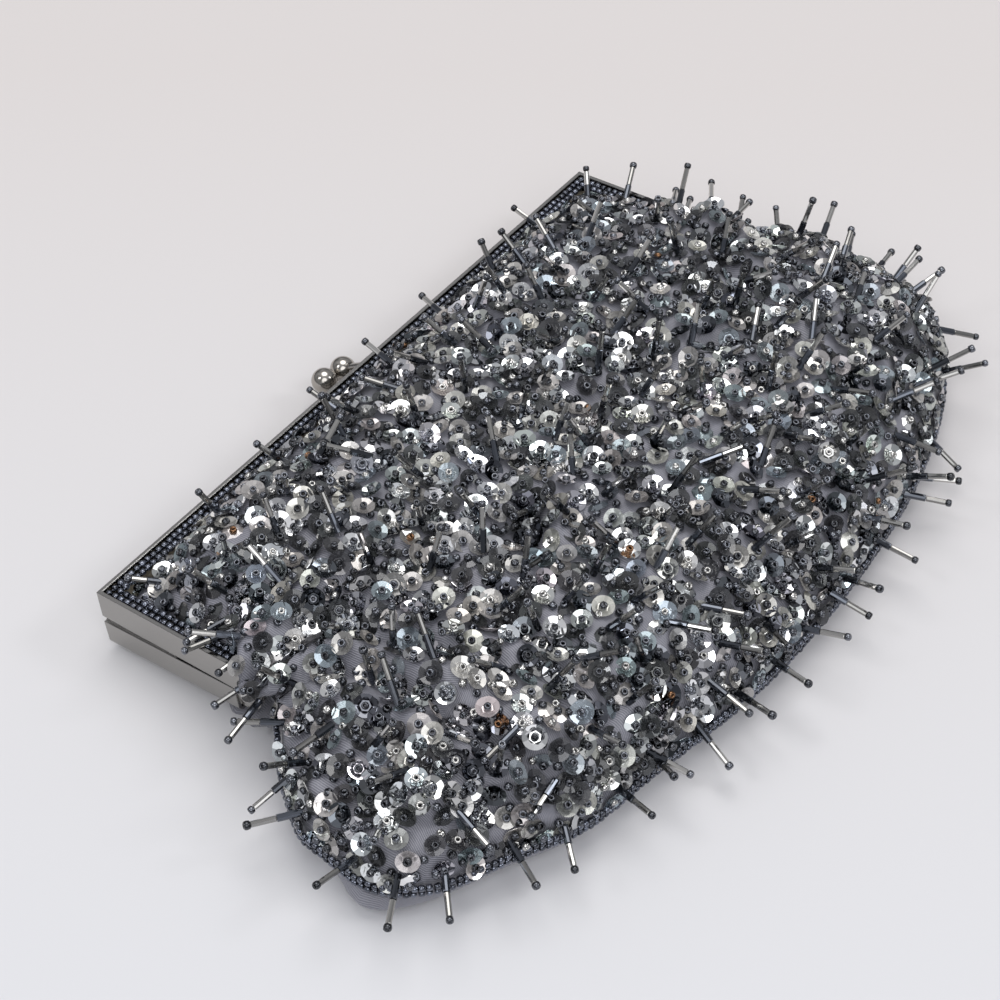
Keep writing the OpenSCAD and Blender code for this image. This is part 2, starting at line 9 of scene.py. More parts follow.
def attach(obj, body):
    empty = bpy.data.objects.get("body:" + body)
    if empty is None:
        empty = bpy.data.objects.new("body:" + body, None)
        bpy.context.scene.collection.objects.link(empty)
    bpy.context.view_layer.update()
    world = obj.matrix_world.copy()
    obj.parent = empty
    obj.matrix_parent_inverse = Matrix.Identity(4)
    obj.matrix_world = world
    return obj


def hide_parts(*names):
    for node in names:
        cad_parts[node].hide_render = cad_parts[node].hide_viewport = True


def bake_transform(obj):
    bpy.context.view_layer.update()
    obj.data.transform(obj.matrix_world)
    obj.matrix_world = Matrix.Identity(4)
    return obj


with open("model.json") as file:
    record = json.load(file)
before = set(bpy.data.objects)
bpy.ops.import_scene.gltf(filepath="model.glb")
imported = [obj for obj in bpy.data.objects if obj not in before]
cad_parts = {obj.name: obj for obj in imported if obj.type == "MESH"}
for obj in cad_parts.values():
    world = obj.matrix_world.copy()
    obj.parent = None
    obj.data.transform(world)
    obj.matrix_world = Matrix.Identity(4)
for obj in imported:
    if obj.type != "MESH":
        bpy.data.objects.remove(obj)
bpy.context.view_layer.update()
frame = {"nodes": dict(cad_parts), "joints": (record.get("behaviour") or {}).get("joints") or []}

# Lengths are millimetres in the part's frame, and MM turns them into metres. Materials, stage
# and flat sizes are in metres. A _STEP is where a smooth rise from 0 to 1 starts and its length.
MM = 0.001
TURN = 2 * math.pi
joined = np.concatenate
rng = np.random.default_rng(41)

# Frame of the purse
HINGE_H = frame["joints"][0]["pos_m"][2] / MM
HALF_FRAME = 90.0
ARM_LEN = 42.0
BAR_LIFT = 1.0
WALL_H = 7.2
SHEET_T = 0.9
CHANNEL_W = 6.0
INNER_WALL_H = 2.6
MOUTH_GAP = 1.6
HALF_SEAT_GAP = 0.1
ARM_END_Y = -4.0
REAR_DEPTH = WALL_H + HALF_SEAT_GAP
SHUT_TILT = math.atan(MOUTH_GAP / ARM_LEN)
PITCH = (math.asin((HINGE_H - BAR_LIFT) / math.hypot(ARM_LEN, REAR_DEPTH))
         - math.atan(REAR_DEPTH / ARM_LEN))

# Rows of small beads, in the front channel and along the seam
ROW_R = 0.825
ROW_PITCH = 1.72
ROW_GAP = 0.15
ROW_OUTER_U = SHEET_T + ROW_GAP + ROW_R
ROW_INNER_U = ROW_OUTER_U + 2 * ROW_R + ROW_GAP / 2
PANEL_U = ROW_INNER_U + ROW_R + ROW_GAP

# Soft body of the bag
HALF_BAG = 107.0
FOOT_Y = 81.0
CROWN_H = 28.0
SEAM_H = 8.0
SEAM_START_H = 11.5
SEAM_FALL = 24.0
HALF_SEAM_GAP = 0.15
FRONT_ROLLS = (44.0, 26.0, 40.0)  # from the sides, the bar and the foot
REAR_ROLL = 11.0
FULLNESS = 2.3
WIDEST_Y = 40.0
FLARE_Y = 4.4
FLARE_LEN = 26.0
TUCK = 1.5
EDGE_CLEAR = 0.3
LEAVE_FRAME_STEP = (-6.0, 15.0)
TOP_Y = (PANEL_U - ARM_LEN) * math.cos(PITCH) - PANEL_U * math.sin(PITCH)
TOP_HALF = HALF_FRAME - PANEL_U
REAR_TOP_Y = ((CHANNEL_W + EDGE_CLEAR - ARM_LEN) * math.cos(PITCH)
              + REAR_DEPTH * math.sin(PITCH))
REAR_TOP_HALF = HALF_FRAME - CHANNEL_W - EDGE_CLEAR
SATIN_T = 0.8
LINING_T = 0.5
FRONT_LINING_DEPTH = 2.8
REAR_LINING_DEPTH = 1.8
FRONT_LINING_SHARE = 0.5  # of the satin's creases that the lining follows
REAR_LINING_SHARE = 0.6


def clamp(t):
    return np.clip(t, 0.0, 1.0)


def smooth(t):
    c = clamp(t)
    return c * c * (3 - 2 * c)


def step(v, start, length):
    """A smooth rise from 0 at the start to 1 a length further on."""
    return smooth((v - start) / length)


def mix(a, b, t):
    return a + (b - a) * t


def rolled(q):
    """A quarter of a circle, from 0 to 1."""
    return np.sqrt(1 - (1 - clamp(q)) ** 2)


def unit(v):
    return v / np.maximum(np.linalg.norm(v, axis=-1, keepdims=True), 1e-9)


def hill(x, y, at, wide):
    """A smooth rise of 1 at a place in plan, with widths along X and Y."""
    return np.exp(-((x - at[0]) / wide[0]) ** 2 - ((y - at[1]) / wide[1]) ** 2)


def run_along(points, axis=0):
    """Distance run along a line, or along the rows or columns of a grid."""
    lengths = np.linalg.norm(np.diff(points, axis=axis), axis=-1)
    start = np.zeros_like(np.take(lengths, [0], axis))
    return joined([start, np.cumsum(lengths, axis)], axis)


def resampled(line, pitch):
    """Points about a pitch apart along a line."""
    run = run_along(line)
    where = np.linspace(0, run[-1], int(run[-1] / pitch) + 1)
    return np.stack([np.interp(where, run, line[:, k]) for k in range(3)], -1)


# Shape of the bag, by the same curves that the CAD layers follow
def bag_half(y, narrow=TOP_HALF):
    """Half width of the bag at a distance from the hinge axis."""
    y = np.asarray(y, float)
    waist = mix(narrow, TOP_HALF, step(y, ARM_END_Y, FLARE_Y - ARM_END_Y))
    flare = mix(TOP_HALF, HALF_BAG, 1 - (1 - clamp((y - FLARE_Y) / FLARE_LEN)) ** 2)
    down = clamp((y - WIDEST_Y) / (FOOT_Y - WIDEST_Y))
    foot = HALF_BAG * np.maximum(0, 1 - down ** FULLNESS) ** (1 / FULLNESS)
    return np.where(y < FLARE_Y, waist, np.where(y < WIDEST_Y, flare, foot))


def seam_z(y):
    return mix(SEAM_START_H, SEAM_H, step(y, FLARE_Y, SEAM_FALL))


def on_frame(y, rise):
    """Height of a place a rise above the plane where the frame halves meet."""
    return HINGE_H + y * math.tan(PITCH) + rise / math.cos(PITCH)


def edge_z(y, rise, seam_gap):
    """Height of a cloth's edge, first beside the frame, then along the seam."""
    return mix(on_frame(y, rise), seam_z(y) + seam_gap, step(y, *LEAVE_FRAME_STEP))


def inset(y, first, depth):
    """Rows drawn in by a depth at both ends."""
    middle = (first + FOOT_Y) / 2
    return middle + (y - middle) * (1 - depth / (FOOT_Y - middle))


def layer(s, y, depth, half, first, rolls, z_at_edge, z_in_middle):
    """A layer of the bag, and its fall: 0 along its edge, 1 in its middle."""
    side_roll, bar_roll, foot_roll = rolls
    fall = (rolled((1 - abs(s)) * half / side_roll) * rolled((y - first) / bar_roll)
            * rolled((FOOT_Y - y) / foot_roll))
    z = mix(z_at_edge, z_in_middle, fall)
    return np.stack([s * (half - depth), inset(y, first, depth) + 0 * s, z], -1), fall


# Creases of the front, as the photograph shows them: a few points in plan and a depth
FRONT_CREASES = [
    ([(86, 6), (80, 20), (76, 36), (76, 46), (74, 56), (74, 67)], 2.6),
    ([(84, -3), (72, 10), (67, 27), (65, 34), (61, 40)], 1.8),
    ([(61, 42), (58, 48), (57, 52), (60, 58)], 1.5),
    ([(93, 12), (96, 22), (99, 30), (98, 40)], 1.6),
    ([(99, 46), (94, 54), (86, 62)], 1.6),
    ([(50, 66), (58, 70), (66, 70)], 1.2),
    ([(80, -12), (66, -8), (50, -10)], 1.2),
    ([(82, 2), (60, 4), (42, 2)], 1.4),
    ([(-20, 50), (-24, 59), (-32, 66)], 1.5),
    ([(-44, 24), (-51, 31), (-60, 42)], 1.7),
    ([(-84, 0), (-72, 12), (-66, 26), (-68, 38)], 1.9),
    ([(-88, 10), (-86, 24), (-82, 38), (-84, 50)], 1.7),
    ([(-82, -8), (-64, -4), (-48, -6)], 1.2),
    ([(20, 22), (30, 28), (34, 38)], 1.2),
    ([(-8, 8), (-16, 16), (-14, 28)], 1.1),
    ([(24, -16), (12, -12), (2, -15)], 0.9),
    ([(-78, 58), (-68, 64), (-56, 70)], 1.2),
    ([(10, 58), (20, 66), (34, 71)], 1.2),
]
CREASE_W = 2.4
CREASE_DEPTH = 1.25  # shares of a crease's own depth
BANK_H = 0.5
BANK_AT, BANK_W = 2.2, 1.4  # in crease widths from its line
RELIEF_FADE = 6.0

# Puckers: waves of the padded cloth, each with its own heading, pace and phase
PUCKER_H = 0.75
PUCKER_COUNT = 26
PUCKER_WAVE = (10, 30)
PUCKERS = [(rng.uniform(0, TURN), TURN / rng.uniform(*PUCKER_WAVE), rng.uniform(0, TURN))
           for _ in range(PUCKER_COUNT)]

# How the bag lies. Places are (X, Y) in plan, with widths along X and Y.
NEAR_STEP = (50.0, 45.0)
SLIM, SLIM_STEP, SLIM_END_STEP = 2.6, (2.0, 10.0), (20.0, 12.0)
FRONT_CORNER, REAR_CORNER = 1.4, 6.0
CORNER_Y, CORNER_W, CORNER_FALL = 47.0, 9.5, 0.6
STRAIGHTEN, STRAIGHT_AT, STRAIGHT_W = 2.6, (88.0, 66.0), (15.0, 9.0)
STRAIGHT_X, STRAIGHT_Y = 0.6, 0.8
FOOT_TUCK, FOOT_TUCK_AT, FOOT_TUCK_W = 3.8, (52.0, 78.0), (30.0, 12.0)
FOOT_DROP, FOOT_DROP_STEP, NEAR_CORNER_STEP = 3.0, (50.0, 16.0), (62.0, 22.0)
FAR_SHOULDER, SHOULDER_AT, SHOULDER_W = 3.0, (-88.0, 11.0), (14.0, 18.0)

# The front cloth hangs out over the arms' ends. OVERHANG_Y and _W: far side, near side.
OVERHANG, OVERHANG_SAG = 12.0, 1.6
OVERHANG_Y, OVERHANG_W = (-3.0, 0.5), (13.0, 7.0)
OVERHANG_RISE, OVERHANG_END_STEP = 1.6, (0.5, 0.35)
PAST_ARM_LEN, PAST_ARM_H = 4.0, 3.6

# The rear cloth swells out in a pleated fold below each arm
SWELL, SWELL_STEP, SWELL_END_STEP = 7.6, (-25.0, 17.0), (-1.0, 11.0)
ARM_CLEAR, ARM_CLEAR_LEN = 0.4, 1.2
SWELL_SIDE_STEP = (4.0, 9.0)
PLEAT, PLEAT_STEP, PLEAT_END_STEP = 0.9, (-34.0, 10.0), (6.0, 12.0)
PLEAT_Y, PLEAT_Z, PLEAT_WANDER = 6.4, 9.0, 0.35
REAR_UNEVEN, REAR_EDGE = 0.45, 6  # its height, and how soon it sets in from the sides
# Painted shade in the tight folds below the arms: how much darker, about where, how wide, and the
# heights over which it fades out upwards.
FOLD_PAINTED_SHADE, FOLD_AT, FOLD_W, FOLD_Z_STEP = 0.35, (88.0, -8.0), (9.0, 13.0), (5.0, 7.0)


def foot_drop(x, y):
    """How much lower the seam lies along the foot than elsewhere."""
    return FOOT_DROP * step(y, *FOOT_DROP_STEP) * (1 - step(x, *NEAR_CORNER_STEP))


def distance_to(points, line):
    """Distance of each point in plan from an open line."""
    best = np.full(points.shape[:-1], np.inf)
    for a, b in zip(line[:-1], line[1:]):
        a, b = np.array(a, float), np.array(b, float)
        t = clamp(((points - a) @ (b - a)) / ((b - a) @ (b - a)))
        best = np.minimum(best, np.linalg.norm(points - a - t[..., None] * (b - a), axis=-1))
    return best


def pucker(xy):
    """Gentle unevenness of the padded cloth, mostly between -1 and 1."""
    total = 0
    for heading, pace, phase in PUCKERS:
        along = xy[..., 0] * math.cos(heading) + xy[..., 1] * math.sin(heading)
        total = total + np.sin(along * pace + phase)
    return total / math.sqrt(PUCKER_COUNT)


def front_relief(xy, edge):
    """Height of creases and puckers over the plain front, none at its border."""
    height = PUCKER_H * pucker(xy)
    for line, depth in FRONT_CREASES:
        d = distance_to(xy, line) / CREASE_W
        height = (height - CREASE_DEPTH * depth * np.exp(-d * d)
                  + BANK_H * depth * np.exp(-((d - BANK_AT) ** 2) / BANK_W))
    height = height + FAR_SHOULDER * hill(xy[..., 0], xy[..., 1], SHOULDER_AT, SHOULDER_W)
    return height * smooth(edge / RELIEF_FADE)


def normals_of(grid):
    du, dv = np.gradient(grid, axis=1), np.gradient(grid, axis=0)
    return unit(np.cross(du, dv))


def columns(count, ease=0.7):
    """Shares of the half width, closer together at the sides."""
    t = np.linspace(-1, 1, count)
    return mix(t, np.sin(t * math.pi / 2), ease)


def rows(first, roll_end, bar_count, middle_count, foot_count, last_angle=math.radians(88.6)):
    """Rows from bar to foot, closer together where the cloth rolls over."""
    bar = mix(first, roll_end, 1 - np.cos(np.linspace(0, math.pi / 2, bar_count)[:-1]))
    middle = np.linspace(roll_end, WIDEST_Y, middle_count)[:-1]
    round_foot = np.sin(np.linspace(0, last_angle, foot_count)) ** (2 / FULLNESS)
    return joined([bar, middle, WIDEST_Y + (FOOT_Y - WIDEST_Y) * round_foot])


COLUMN_S = columns(151)
FRONT_Y = rows(TOP_Y, -12, 26, 38, 34)
REAR_Y = rows(REAR_TOP_Y, REAR_TOP_Y + REAR_ROLL, 12, 62, 34)


def as_it_lies(grid, fall, share, corner):
    """Slim near side, full near corner, straighter foot and a lower seam."""
    x, y = grid[..., 0].copy(), grid[..., 1].copy()
    near = step(x, *NEAR_STEP)
    grid[..., 2] -= share * foot_drop(x, y) * (1 - fall)
    grid[..., 0] -= (share * SLIM * near * step(y, *SLIM_STEP)
                     * (1 - step(y, *SLIM_END_STEP)))
    bulge = mix(FRONT_CORNER, corner, smooth(fall / CORNER_FALL))
    grid[..., 0] += share * bulge * near * np.exp(-((y - CORNER_Y) / CORNER_W) ** 2)
    inward = share * STRAIGHTEN * hill(x, y, STRAIGHT_AT, STRAIGHT_W)
    grid[..., 0] -= STRAIGHT_X * inward
    grid[..., 1] -= STRAIGHT_Y * inward
    grid[..., 1] -= share * FOOT_TUCK * hill(x, y, FOOT_TUCK_AT, FOOT_TUCK_W)
    return grid


def front_grid(depth=0.0, share=1.0):
    """The front cloth a depth inside the satin's face, with a share of its creases."""
    s, y = np.meshgrid(COLUMN_S, FRONT_Y)
    half = bag_half(y)
    rise = (HALF_SEAT_GAP + INNER_WALL_H + EDGE_CLEAR
            + np.maximum(0, -y) * math.tan(SHUT_TILT))
    grid, fall = layer(s, y, depth, half, TOP_Y, FRONT_ROLLS,
                       edge_z(y, rise, HALF_SEAM_GAP), CROWN_H - depth)
    edge = np.minimum(np.minimum((1 - abs(s)) * half, y - TOP_Y), FOOT_Y - y)
    raised = share * front_relief(grid[..., :2], edge)
    grid = grid + raised[..., None] * normals_of(grid)
    past_arm = step(y, ARM_END_Y, PAST_ARM_LEN)
    clear_z = mix(on_frame(y, HALF_SEAT_GAP + WALL_H), HINGE_H + PAST_ARM_H, past_arm)
    over = (share * smooth((grid[..., 2] - clear_z) / OVERHANG_RISE)
            * (1 - step(fall, *OVERHANG_END_STEP)))
    near = (s > 0).astype(int)
    away = (y - np.take(OVERHANG_Y, near)) / np.take(OVERHANG_W, near)
    over = over * np.exp(-away ** 2)
    grid[..., 0] += np.sign(s) * over * OVERHANG
    grid[..., 2] -= over * past_arm * OVERHANG_SAG
    return as_it_lies(grid, fall, share, FRONT_CORNER)


def rear_grid(depth=0.0, share=1.0):
    """The rear cloth, in the same way."""
    s, y = np.meshgrid(COLUMN_S, REAR_Y)
    half = bag_half(y, REAR_TOP_HALF)
    rise = -(HALF_SEAT_GAP + SHEET_T + TUCK)
    grid, fall = layer(s, y, depth, half, REAR_TOP_Y, (REAR_ROLL,) * 3,
                       edge_z(y, rise, -HALF_SEAM_GAP), depth)
    wall_foot = on_frame(y, -REAR_DEPTH)
    room = smooth((wall_foot - ARM_CLEAR - grid[..., 2]) / ARM_CLEAR_LEN)
    below_arm = room * (1 - step((1 - abs(s)) * half, *SWELL_SIDE_STEP))
    swell = SWELL * step(y, *SWELL_STEP) * (1 - step(y, *SWELL_END_STEP)) * below_arm
    wander = PLEAT_WANDER * pucker(grid[..., :2])
    pleats = PLEAT * np.sin(TURN * (y / PLEAT_Y + grid[..., 2] / PLEAT_Z + wander))
    pleats = pleats * step(y, *PLEAT_STEP) * (1 - step(y, *PLEAT_END_STEP)) * below_arm
    grid[..., 0] += share * np.sign(s) * (swell + pleats)
    lift = (0.5 * (1 + pucker(grid[..., :2])) * smooth((1 - abs(s)) * REAR_EDGE)
            * REAR_UNEVEN)
    grid = as_it_lies(grid, fall, share, REAR_CORNER)
    grid[..., 2] = np.maximum(grid[..., 2] + share * clamp(lift), depth)
    return grid


# Mesh making
def link(name, mesh, materials):
    obj = bpy.data.objects.new(name, mesh)
    bpy.context.scene.collection.objects.link(obj)
    for material in materials:
        mesh.materials.append(material)
    return obj


def solid_mesh(name, shape, materials, flat=False, which=None, tint=None):
    """A mesh from millimetre points, one run of face corners, and each face's size."""
    points, loops, sizes = shape
    mesh = bpy.data.meshes.new(name)
    mesh.vertices.add(len(points))
    mesh.vertices.foreach_set("co", (np.asarray(points, np.float32) * MM).ravel())
    mesh.loops.add(len(loops))
    mesh.polygons.add(len(sizes))
    starts = joined([[0], np.cumsum(sizes)[:-1]])
    mesh.polygons.foreach_set("loop_start", starts.astype(np.int32))
    mesh.polygons.foreach_set("vertices", np.asarray(loops, np.int32))
    mesh.polygons.foreach_set("use_smooth", np.full(len(sizes), not flat))
    mesh.update(calc_edges=True)
    obj = link(name, mesh, materials)
    if which is not None:
        mesh.polygons.foreach_set("material_index", np.asarray(which, np.int32))
    # The tint is each point's colour: own tint on sequins and beads, painted shade on the cloth.
    if tint is not None:
        colour = mesh.color_attributes.new("tint", "FLOAT_COLOR", "POINT")
        rgba = np.ones((len(points), 4), np.float32)
        rgba[:, :3] = tint
        colour.data.foreach_set("color", rgba.ravel())
    return obj


def shell(name, grid, thickness, outward, material):
    """A cloth: outer grid, inner grid and the border between them."""
    inner = grid - normals_of(grid) * outward * thickness
    points = joined([grid.reshape(-1, 3), inner.reshape(-1, 3)])
    n = len(points) // 2
    at = np.arange(n).reshape(grid.shape[:2])
    quad = np.stack([at[:-1, :-1], at[:-1, 1:], at[1:, 1:], at[1:, :-1]], -1).reshape(-1, 4)
    ring = joined([at[0], at[1:, -1], at[-1, -2::-1], at[-2:0:-1, 0]])
    after = np.roll(ring, -1)
    side = np.stack([ring, ring + n, after + n, after], -1)
    if outward < 0:
        quad, side = quad[:, ::-1], side[:, ::-1]
    faces = joined([quad, quad[:, ::-1] + n, side])
    # The cloth's tint is painted shade, darker in the tight folds below the arms.
    shade = joined([painted_fold_shade(grid), painted_fold_shade(inner)])
    shape = (points, faces.ravel(), np.full(len(faces), 4))
    obj = solid_mesh(name, shape, [material], tint=shade[:, None])
    lay_weave(obj.data, grid, faces)
    return obj


def painted_fold_shade(grid):
    """Painted shade on the satin: how much of its colour it keeps, less in the tight folds below
    the arms where shade falls.
    """
    x, y, z = grid.reshape(-1, 3).T
    tight = hill(abs(x), y, FOLD_AT, FOLD_W) * (1 - step(z, *FOLD_Z_STEP))
    return 1 - FOLD_PAINTED_SHADE * tight


def lay_weave(mesh, grid, faces):
    """UVs in metres along the cloth, so that its ribs keep their width."""
    across = run_along(grid, 1)
    across -= across[:, [grid.shape[1] // 2]]
    uv = np.stack([across.ravel(), run_along(grid, 0).ravel()], -1) * MM
    uv = joined([uv, uv])[faces.ravel()].astype(np.float32)
    mesh.uv_layers.new(name="weave").data.foreach_set("uv", uv.ravel())


def copies(template, placed, turns, sizes):
    """Many copies of a template: where, turned how and how large."""
    points, loops, face_sizes = template
    n, m = len(placed), len(points)
    scaled = points[None] * sizes[:, None, :]
    out = np.einsum("nij,nmj->nmi", turns, scaled) + placed[:, None, :]
    all_loops = (loops[None, :] + (np.arange(n) * m)[:, None]).ravel()
    return out.reshape(-1, 3), all_loops, np.tile(face_sizes, n)


def per_point(values, template):
    """Each copy's own value, for all points of the copy."""
    return np.repeat(values, len(template[0]), 0)


def frames_on(normal, spin):
    """Turns that take Z to each normal, spun about it."""
    normal = unit(normal)
    upright = abs(normal[:, [2]]) >= 0.9
    aside = np.where(upright, [[1.0, 0.0, 0.0]], [[0.0, 0.0, 1.0]])
    x = unit(np.cross(aside, normal))
    y = np.cross(normal, x)
    c, s = np.cos(spin)[:, None], np.sin(spin)[:, None]
    return np.stack([x * c + y * s, y * c - x * s, normal], -1)


def tilted(normal, amount):
    """Directions leant away from a normal by about that many radians, each its own way."""
    lean = rng.normal(size=normal.shape) * np.asarray(amount).reshape(-1, 1)
    lean -= (lean * normal).sum(-1, keepdims=True) * normal
    return unit(normal + lean)


def ring_points(radius, z, count):
    t = np.arange(count) * TURN / count
    return np.stack([radius * np.cos(t), radius * np.sin(t), np.full(count, z)], -1)


def round_ring(first, count):
    """Neighbours round a ring of points, by their numbers."""
    return [(first + i, first + (i + 1) % count) for i in range(count)]


def ring_faces(a, b, count):
    """Faces between two rings of points."""
    return [[p, q, q + b - a, p + b - a] for p, q in round_ring(a, count)]


def template_of(points, faces):
    return (joined(points), np.array([i for f in faces for i in f]),
            np.array([len(f) for f in faces]))


def sequin_template():
    """A cupped sequin of radius 1: flat hexagon with a hole, six facets, round rim."""
    sides, per_side = 6, 3
    hole, flat, slope, thick = 0.16, 0.5, 0.5, 0.035
    rim = sides * per_side
    reach = flat * math.cos(math.pi / sides)
    angle = np.arange(rim) * TURN / rim
    off_middle = (angle % (TURN / sides)) - math.pi / sides
    rim_z = slope * (np.cos(off_middle) - reach)
    rim_top = np.stack([np.cos(angle), np.sin(angle), rim_z], -1)
    top = [ring_points(hole, 0, sides), ring_points(flat, 0, sides), rim_top]
    points = top + [p - np.array([0, 0, thick]) for p in top]
    first = 2 * sides
    below = first + rim
    faces = [f[::-1] for f in ring_faces(0, sides, sides)]
    for i in range(sides):
        arc = [first + (i * per_side + k) % rim for k in range(per_side + 1)]
        faces.append([sides + i] + arc + [sides + (i + 1) % sides])
    faces += [[v + below for v in f[::-1]] for f in faces]
    faces += [[a, a + below, b + below, b] for a, b in round_ring(first, rim)]
    faces += [[b, b + below, a + below, a] for a, b in round_ring(0, sides)]
    return template_of(points, faces)


def turned_template(profile, around):
    """A ring about Z, turned from a closed profile of radii and heights."""
    points, faces = [ring_points(radius, z, around) for radius, z in profile], []
    for k in range(len(profile)):
        faces += ring_faces(k * around, (k + 1) % len(profile) * around, around)
    return template_of(points, faces)


def bead_template(around=12, section=8):
    """A rounded glass bead of radius 1."""
    hole, height, squareness = 0.3, 0.74, 0.85
    wall = (1 - hole) / 2
    profile = []
    for k in range(section):
        c, s = math.cos(TURN * k / section), math.sin(TURN * k / section)
        profile.append((hole + wall + wall * c, height * math.copysign(abs(s) ** squareness, s)))
    return turned_template(profile, around)


def bugle_template():
    """A cut glass tube of radius 1 and length 1."""
    bore, lip, ease = 0.42, 0.9, 0.02
    return turned_template([(bore, 0.0), (lip, 0.0), (1.0, ease), (1.0, 1 - ease),
                            (lip, 1.0), (bore, 1.0)], 10)


def rod_template(sides=5):
    """A closed rod of radius 1 and length 1 along Z."""
    points = [ring_points(1, 0, sides), ring_points(1, 1, sides)]
    faces = ring_faces(0, sides, sides)
    faces += [list(range(sides))[::-1], list(range(sides, 2 * sides))]
    return template_of(points, faces)


# Materials
def new_material(name, **values):
    material = bpy.data.materials.new(name)
    material.use_nodes = True
    tree = material.node_tree
    shader = tree.nodes["Principled BSDF"]
    for key, value in values.items():
        shader.inputs[key.replace("_", " ")].default_value = value
    return material, tree, shader


def node(tree, kind, **settings):
    made = tree.nodes.new("ShaderNode" + kind)
    for key, value in settings.items():
        if key in made.inputs:
            made.inputs[key].default_value = value
        else:
            setattr(made, key, value)
    return made


def noise(tree, scale, detail=3.0, coords="Object"):
    place = node(tree, "TexCoord")
    made = node(tree, "TexNoise", Scale=scale, Detail=detail)
    tree.links.new(place.outputs[coords], made.inputs["Vector"])
    return made.outputs["Fac"]


def map_range(tree, source, start, end, low=0.0, high=1.0):
    """A value from low to high as the source goes from start to end."""
    made = node(tree, "MapRange",
                **{"From Min": start, "From Max": end, "To Min": low, "To Max": high})
    tree.links.new(source, made.inputs["Value"])
    return made.outputs["Result"]


def ramp(tree, source, low, high):
    """A value from low to high that follows noise, mostly between 0.3 and 0.7."""
    return map_range(tree, source, 0.3, 0.7, low, high)


def maths(tree, operation, *values):
    """A math node's result, from numbers and other nodes' outputs."""
    made = node(tree, "Math", operation=operation)
    for socket, value in zip(made.inputs, values):
        if isinstance(value, float):
            socket.default_value = value
        else:
            tree.links.new(value, socket)
    return made.outputs[0]


def part_of(tree, vector, axis):
    split = node(tree, "SeparateXYZ")
    tree.links.new(vector, split.inputs["Vector"])
    return split.outputs[axis]


def two_tone(tree, source, dark, light):
    made = node(tree, "Mix", data_type="RGBA")
    made.inputs["A"].default_value = (*dark, 1)
    made.inputs["B"].default_value = (*light, 1)
    tree.links.new(source, made.inputs["Factor"])
    return made.outputs["Result"]


def paint(tree, shader, source):
    tree.links.new(source, shader.inputs["Base Color"])


def tint_and_painted_shade(tree):
    """The colour that the mesh carries at each point: its own tint on sequins and beads, painted
    shade on the cloth.
    """
    return node(tree, "VertexColor", layer_name="tint").outputs["Color"]


def vary_roughness(tree, shader, source, rough, least, most):
    """Roughness between two shares of its usual value."""
    tree.links.new(ramp(tree, source, rough * least, rough * most), shader.inputs["Roughness"])


def bumped(tree, shader, height, strength, distance, rounded=0.0):
    """Bump of a strength and a height in metres, on edges that are rounded by a radius."""
    made = node(tree, "Bump", Strength=strength, Distance=distance)
    tree.links.new(height, made.inputs["Height"])
    if rounded:
        edge = node(tree, "Bevel", Radius=rounded)
        tree.links.new(edge.outputs["Normal"], made.inputs["Normal"])
    tree.links.new(made.outputs["Normal"], shader.inputs["Normal"])


def gunmetal(name, colour, rough, darkest=0.95):
    """Polished plating, a little uneven, with edges worn round."""
    material, tree, shader = new_material(name, Metallic=1.0)
    paint(tree, shader, two_tone(tree, noise(tree, 160.0), [c * darkest for c in colour], colour))
    vary_roughness(tree, shader, noise(tree, 420.0, 5.0), rough, least=0.85, most=1.2)
    bumped(tree, shader, noise(tree, 260.0, 1.0), 0.02, 0.0002, rounded=0.00042)
    return material


def satin(name, dark, light, rib=0.0005, rough=0.42, unevenness=0.35):
    """Ribbed satin whose ribs run along the weave, darkened by the painted shade that the mesh
    carries in its tint.
    """
    material, tree, shader = new_material(
        name, Sheen_Weight=0.25, Sheen_Roughness=0.35, Specular_IOR_Level=0.55)
    weave = node(tree, "UVMap", uv_map="weave")
    turns_of_rib = maths(tree, "MULTIPLY", part_of(tree, weave.outputs["UV"], "X"), TURN / rib)
    rib_height = map_range(tree, maths(tree, "SINE", turns_of_rib), -1.0, 1.0)
    height = maths(tree, "MULTIPLY_ADD", noise(tree, 900.0, 4.0), unevenness, rib_height)
    shaded = node(tree, "Mix", data_type="RGBA", blend_type="MULTIPLY")
    shaded.inputs["Factor"].default_value = 1.0
    # Painted shade and sheen: each rib is darker in its groove and lighter on its crest.
    tree.links.new(two_tone(tree, rib_height, dark, light), shaded.inputs["A"])
    tree.links.new(tint_and_painted_shade(tree), shaded.inputs["B"])
    paint(tree, shader, shaded.outputs["Result"])
    vary_roughness(tree, shader, noise(tree, 60.0), rough, least=0.85, most=1.15)
    bumped(tree, shader, height, 0.55, 0.00014)
    return material


def glass_beads(name, metallic, rough, coat):
    """Beads whose colour each has in the mesh's own tint."""
    material, tree, shader = new_material(
        name, Metallic=metallic, Coat_Weight=coat, Coat_Roughness=0.04)
    paint(tree, shader, tint_and_painted_shade(tree))
    vary_roughness(tree, shader, noise(tree, 700.0), rough, least=0.6, most=1.5)
    return material


def film(name, metallic, rough, **values):
    """Sequin film, tinted piece by piece, with faint unevenness."""
    material, tree, shader = new_material(name, Metallic=metallic, **values)
    paint(tree, shader, tint_and_painted_shade(tree))
    vary_roughness(tree, shader, noise(tree, 500.0), rough, least=0.6, most=1.6)
    bumped(tree, shader, noise(tree, 800.0, 2.0), 0.05, 0.0002)
    return material


def plain(name, colour, rough, darkest=0.8):
    """Dull thread or paper, with a fine grain."""
    material, tree, shader = new_material(name)
    grain = noise(tree, 1500.0, 4.0)
    paint(tree, shader, two_tone(tree, grain, [c * darkest for c in colour], colour))
    vary_roughness(tree, shader, grain, rough, least=0.9, most=1.1)
    bumped(tree, shader, grain, 0.3, 0.0002)
    return material
